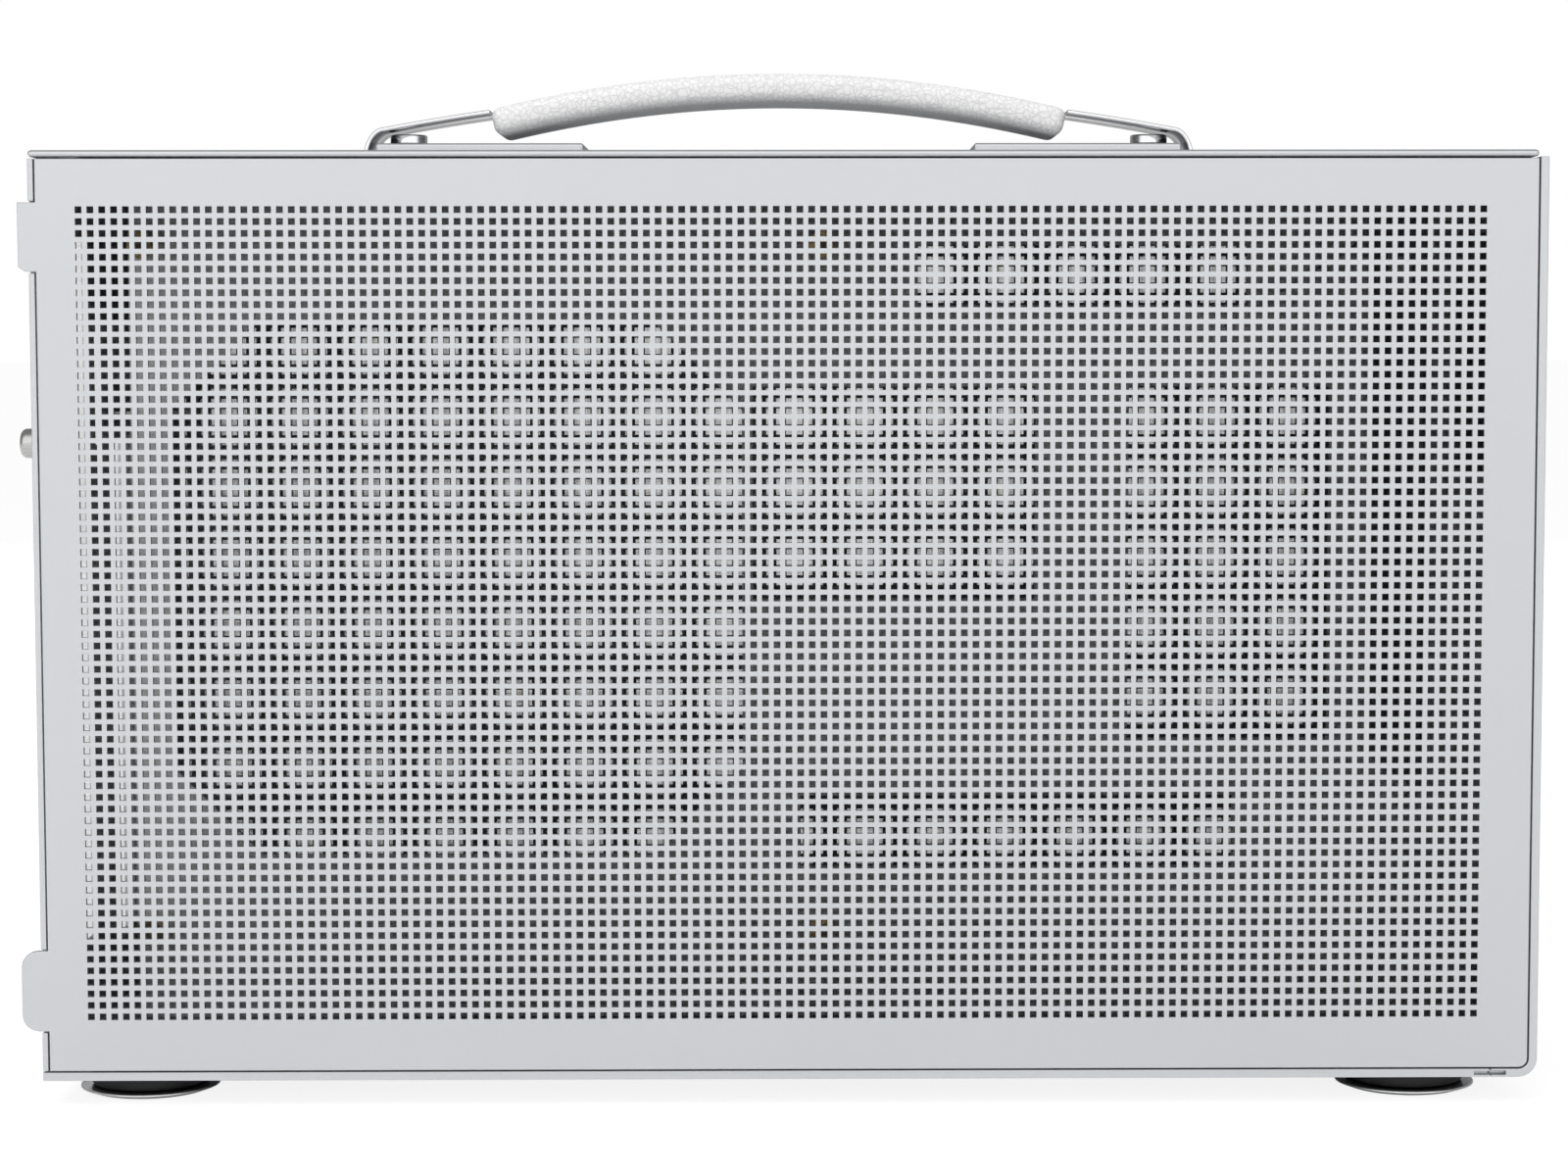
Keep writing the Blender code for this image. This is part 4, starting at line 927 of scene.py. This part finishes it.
for number in (1, 2, 3, 4):
    make_foot(number)
print("feet stand at", round(span("foot_pad_1")[0][2], 5))

# %% [markdown]
# ## Screws, studs and the power button
#
# These small parts are turned from bar. A screw's socket is made by the same surface: the rings inside it
# are pushed out from circles to hexagons. A thumbscrew's knurl is a cosine of the angle, taken off the
# radius of the rings round its head. Each part's radius and length come from its node.

# %% Shapes that rings can take
def hexagon(across, rings):
    """Ripple that makes hexagons of chosen rings: the radius is across / (2 cos a), with a measured from the
    middle of the nearest flat."""
    def ripple(angle, ring):
        flat = across / 2 * MM / np.cos((angle + np.pi / 6) % (np.pi / 3) - np.pi / 6)
        return np.where(np.isin(ring, rings), flat - across / 2 * MM, 0.0)
    return ripple


def knurl(depth, ridges, rings, socket):
    """Ripple that cuts ridges into chosen rings, on top of another ripple for the socket."""
    def ripple(angle, ring):
        cut = -depth * MM * (0.5 + 0.5 * np.cos(ridges * angle))
        return socket(angle, ring) + np.where(np.isin(ring, rings), cut, 0.0)
    return ripple

# %% Thumbscrew and rear screws
def shank_radius(node, axis):
    """Radius in millimetres of the screw at the end of its shank. axis is 0 for X and 2 for Z."""
    points = np.array([v.co for v in frame["nodes"][node].data.vertices])
    across = [k for k in (0, 1, 2) if k != axis]
    end = points[:, axis].max() if axis == 0 else points[:, axis].min()
    tip = points[np.abs(points[:, axis] - end) < 0.02 * MM]
    return np.linalg.norm((tip - middle(node))[:, across], axis=1).max() / MM


def make_thumbscrew():
    """Knurled head with a hexagon socket, above a plain shank."""
    low, high = span("thumbscrew")
    head = 6.0
    radius = (high[0] - low[0]) / 2 / MM
    shank = shank_radius("thumbscrew", 2)
    down = (low[2] - high[2]) / MM + head
    profile = [(0, 4.2), (1.5, 4.2), (1.5, 5.8), (1.9, head), (radius - 1.2, head)]
    profile += [(radius - 0.5, head - 0.3), (radius, head - 0.8), (radius, 0.9), (radius - 0.5, 0.4)]
    profile += [(radius - 0.7, 0), (shank, 0), (shank, down), (0, down)]
    place = np.array([*middle("thumbscrew")[:2], high[2] - head * MM])
    ripple = knurl(0.28, 44, (5, 6, 7), hexagon(3.0, (0, 1)))
    piece = turned("thumbscrew_knurled", profile, place, "+Z", 352, ripple)
    return finish_piece(paint(piece, STEEL), "thumbscrew", "screw_steel", "thumbscrew")


def make_rear_screw(node):
    """Pan head with a hexagon socket. The head's shoulder is a quarter of an ellipse."""
    low, high = span(node)
    radius = (high[2] - low[2]) / 2 / MM
    head = 3.0
    shank = shank_radius(node, 0)
    down = -(high[0] - low[0]) / MM + head
    turn = np.radians(np.linspace(0, 90, 7))
    shoulder = [(radius - 1.3 + 1.3 * math.sin(a), 1.7 + 1.3 * math.cos(a)) for a in turn]
    profile = [(0, 1.2), (1.25, 1.2), (1.25, head - 0.15), (1.6, head)] + shoulder
    profile += [(radius, 0.2), (radius - 0.2, 0), (shank, 0), (shank, down), (0, down)]
    place = np.array([low[0] + head * MM, *middle(node)[1:]])
    piece = turned(node + "_turned", profile, place, "-X", 96, hexagon(2.5, (0, 1)))
    return finish_piece(paint(piece, STEEL), "chassis", "screw_steel", node)


make_thumbscrew()
for node in ("rear_screw_near", "rear_screw_far"):
    make_rear_screw(node)

# %% Ball studs
def make_stud(node, body, axis):
    """A ball on a neck above a round flange. The ball's surface ends where it meets the neck."""
    low, high = span(node)
    reach = (high[1] - low[1]) / MM
    flange = (high[0] - low[0]) / 2 / MM
    ball, neck = 2.8, 1.6
    join = -math.degrees(math.acos(neck / ball))
    profile = arc((0, reach - ball), ball, 90, join, 20)
    profile += [(neck, 1.2), (neck + 0.2, 1.0), (flange - 0.2, 1.0), (flange, 0.8), (flange, 0.1)]
    profile += [(flange - 0.1, 0), (0, 0)]
    place = middle(node)
    place[1] = low[1] if axis == "+Y" else high[1]
    piece = turned(node + "_turned", profile, place, axis, 48)
    return finish_piece(paint(piece, STEEL), body, "screw_steel", node)


for number in (1, 2, 3, 4):
    make_stud("near_ball_stud_%d" % number, "near_panel", "+Y")
    make_stud("far_ball_stud_%d" % number, "far_panel", "-Y")

# %% Power button and its ring
def make_button():
    """A cap with a shallow dish in its face, kept in by a flange."""
    low, high = span("power_button")
    length = (high[0] - low[0]) / MM
    flange = (high[1] - low[1]) / 2 / MM
    cap = 7.0
    turn = np.linspace(0, 1, 9)
    dish = [(r * (cap - 0.6), length - 0.12 - 0.3 * (1 - r * r)) for r in turn]
    profile = dish + arc((cap - 0.4, length - 0.4), 0.4, 80, 0, 4)
    profile += [(cap, 1.2), (flange, 1.2), (flange, 0), (0, 0)]
    place = middle("power_button")
    place[0] = low[0]
    piece = turned("power_button_cap", profile, place, "+X", 96)
    return finish_piece(paint(piece, ANODISED), "power_button", "anodised_sheet", "power_button")


def make_button_ring():
    """A bright ring with a rounded front edge."""
    low, high = span("power_button_ring")
    length = (high[0] - low[0]) / MM
    outer = (high[1] - low[1]) / 2 / MM
    bore = 7.3
    profile = [(bore, 0), (bore, length - 0.2), (bore + 0.2, length)]
    profile += arc((outer - 0.35, length - 0.35), 0.35, 90, 0, 5) + [(outer, 0)]
    place = middle("power_button_ring")
    place[0] = low[0]
    piece = ring_turned("power_button_ring_turned", profile, place, "+X", 96)
    return finish_piece(paint(piece, TRIM), "chassis", "polished_trim", "power_button_ring")


make_button()
make_button_ring()

# %% [markdown]
# ## Floor and light
#
# The case stands on a white floor against a white background. Metal mirrors what surrounds it, so the
# room is given a direction: it is brightest in front, behind the camera, and falls to grey at the sides
# and overhead. The flat panel then looks light and even, while every edge that turns away from the camera
# draws a thin grey line, and the round bosses of the handle go from white to black. The camera itself
# sees plain white.

# %% Floor, world and lamps
def show_white(tree, surface, target, share, strength=1.0):
    """Shows the camera plain white for a share of a surface, and everything else the surface itself."""
    in_world = surface.node.type == "BACKGROUND"
    white = tree.nodes.new("ShaderNodeBackground" if in_world else "ShaderNodeEmission")
    white.inputs["Color"].default_value = (1, 1, 1, 1)
    white.inputs["Strength"].default_value = strength
    eye = tree.nodes.new("ShaderNodeLightPath")
    part = tree.nodes.new("ShaderNodeMath")
    part.operation = "MULTIPLY"
    part.inputs[1].default_value = share
    tree.links.new(eye.outputs["Is Camera Ray"], part.inputs[0])
    mix = tree.nodes.new("ShaderNodeMixShader")
    tree.links.new(part.outputs[0], mix.inputs["Fac"])
    tree.links.new(surface, mix.inputs[1])
    tree.links.new(white.outputs[0], mix.inputs[2])
    tree.links.new(mix.outputs[0], target)


def make_stage():
    """A wide white floor that keeps a soft shadow under the case."""
    half = 40.0
    corners = [(-half, -half, 0), (half, -half, 0), (half, half, 0), (-half, half, 0)]
    floor = add_piece("floor", corners, [(0, 1, 2, 3)])
    material, tree, shader, place = new_material("floor_paint")
    grain = use_group(tree, FINE_GRAIN, place, "Grains per metre", 30.0)
    low, high = (0.86, 0.86, 0.86), (0.90, 0.90, 0.90)
    mix_colours(tree, grain.outputs["Mask"], low, high, shader.inputs["Base Color"])
    shader.inputs["Roughness"].default_value = 0.9
    target = tree.nodes["Material Output"].inputs["Surface"]
    show_white(tree, shader.outputs["BSDF"], target, 0.75, 1.15)
    paint(floor, material)
    return floor


def make_world(front, side):
    """A room that is bright in front of the case, dark at the sides and overhead, and white to the camera."""
    world = bpy.data.worlds.new("studio")
    world.use_nodes = True
    tree = world.node_tree
    sky = tree.nodes["Background"]
    parts = tree.nodes.new("ShaderNodeSeparateXYZ")
    tree.links.new(tree.nodes.new("ShaderNodeTexCoord").outputs["Generated"], parts.inputs["Vector"])
    ahead = map_node(tree, -0.15, -0.75, side, front)
    ahead.interpolation_type = "SMOOTHSTEP"
    tree.links.new(parts.outputs["Y"], ahead.inputs["Value"])
    tree.links.new(ahead.outputs["Result"], sky.inputs["Strength"])
    sky.inputs["Color"].default_value = (1, 1, 1, 1)
    show_white(tree, sky.outputs["Background"], tree.nodes["World Output"].inputs["Surface"], 1.0)
    bpy.context.scene.world = world


def add_lamp(name, place, target, size, power):
    """A square soft light that looks at a point. Metal doesn't mirror it, so edges get no white line."""
    data = bpy.data.lights.new(name, "AREA")
    data.size = size
    data.energy = power
    lamp = bpy.data.objects.new(name, data)
    bpy.context.scene.collection.objects.link(lamp)
    lamp.location = place
    lamp.visible_glossy = False
    lamp.rotation_euler = (Vector(target) - Vector(place)).to_track_quat("-Z", "Y").to_euler()
    return lamp


make_stage()
make_world(1.34, 0.28)
add_lamp("over_floor", (-0.4, -0.9, 1.4), (0, -0.5, 0), 1.2, 14.0)
add_lamp("behind", (0.0, 1.6, 1.0), (0, 0, 0.1), 1.6, 14.0)
bpy.context.scene.view_settings.view_transform = "Standard"
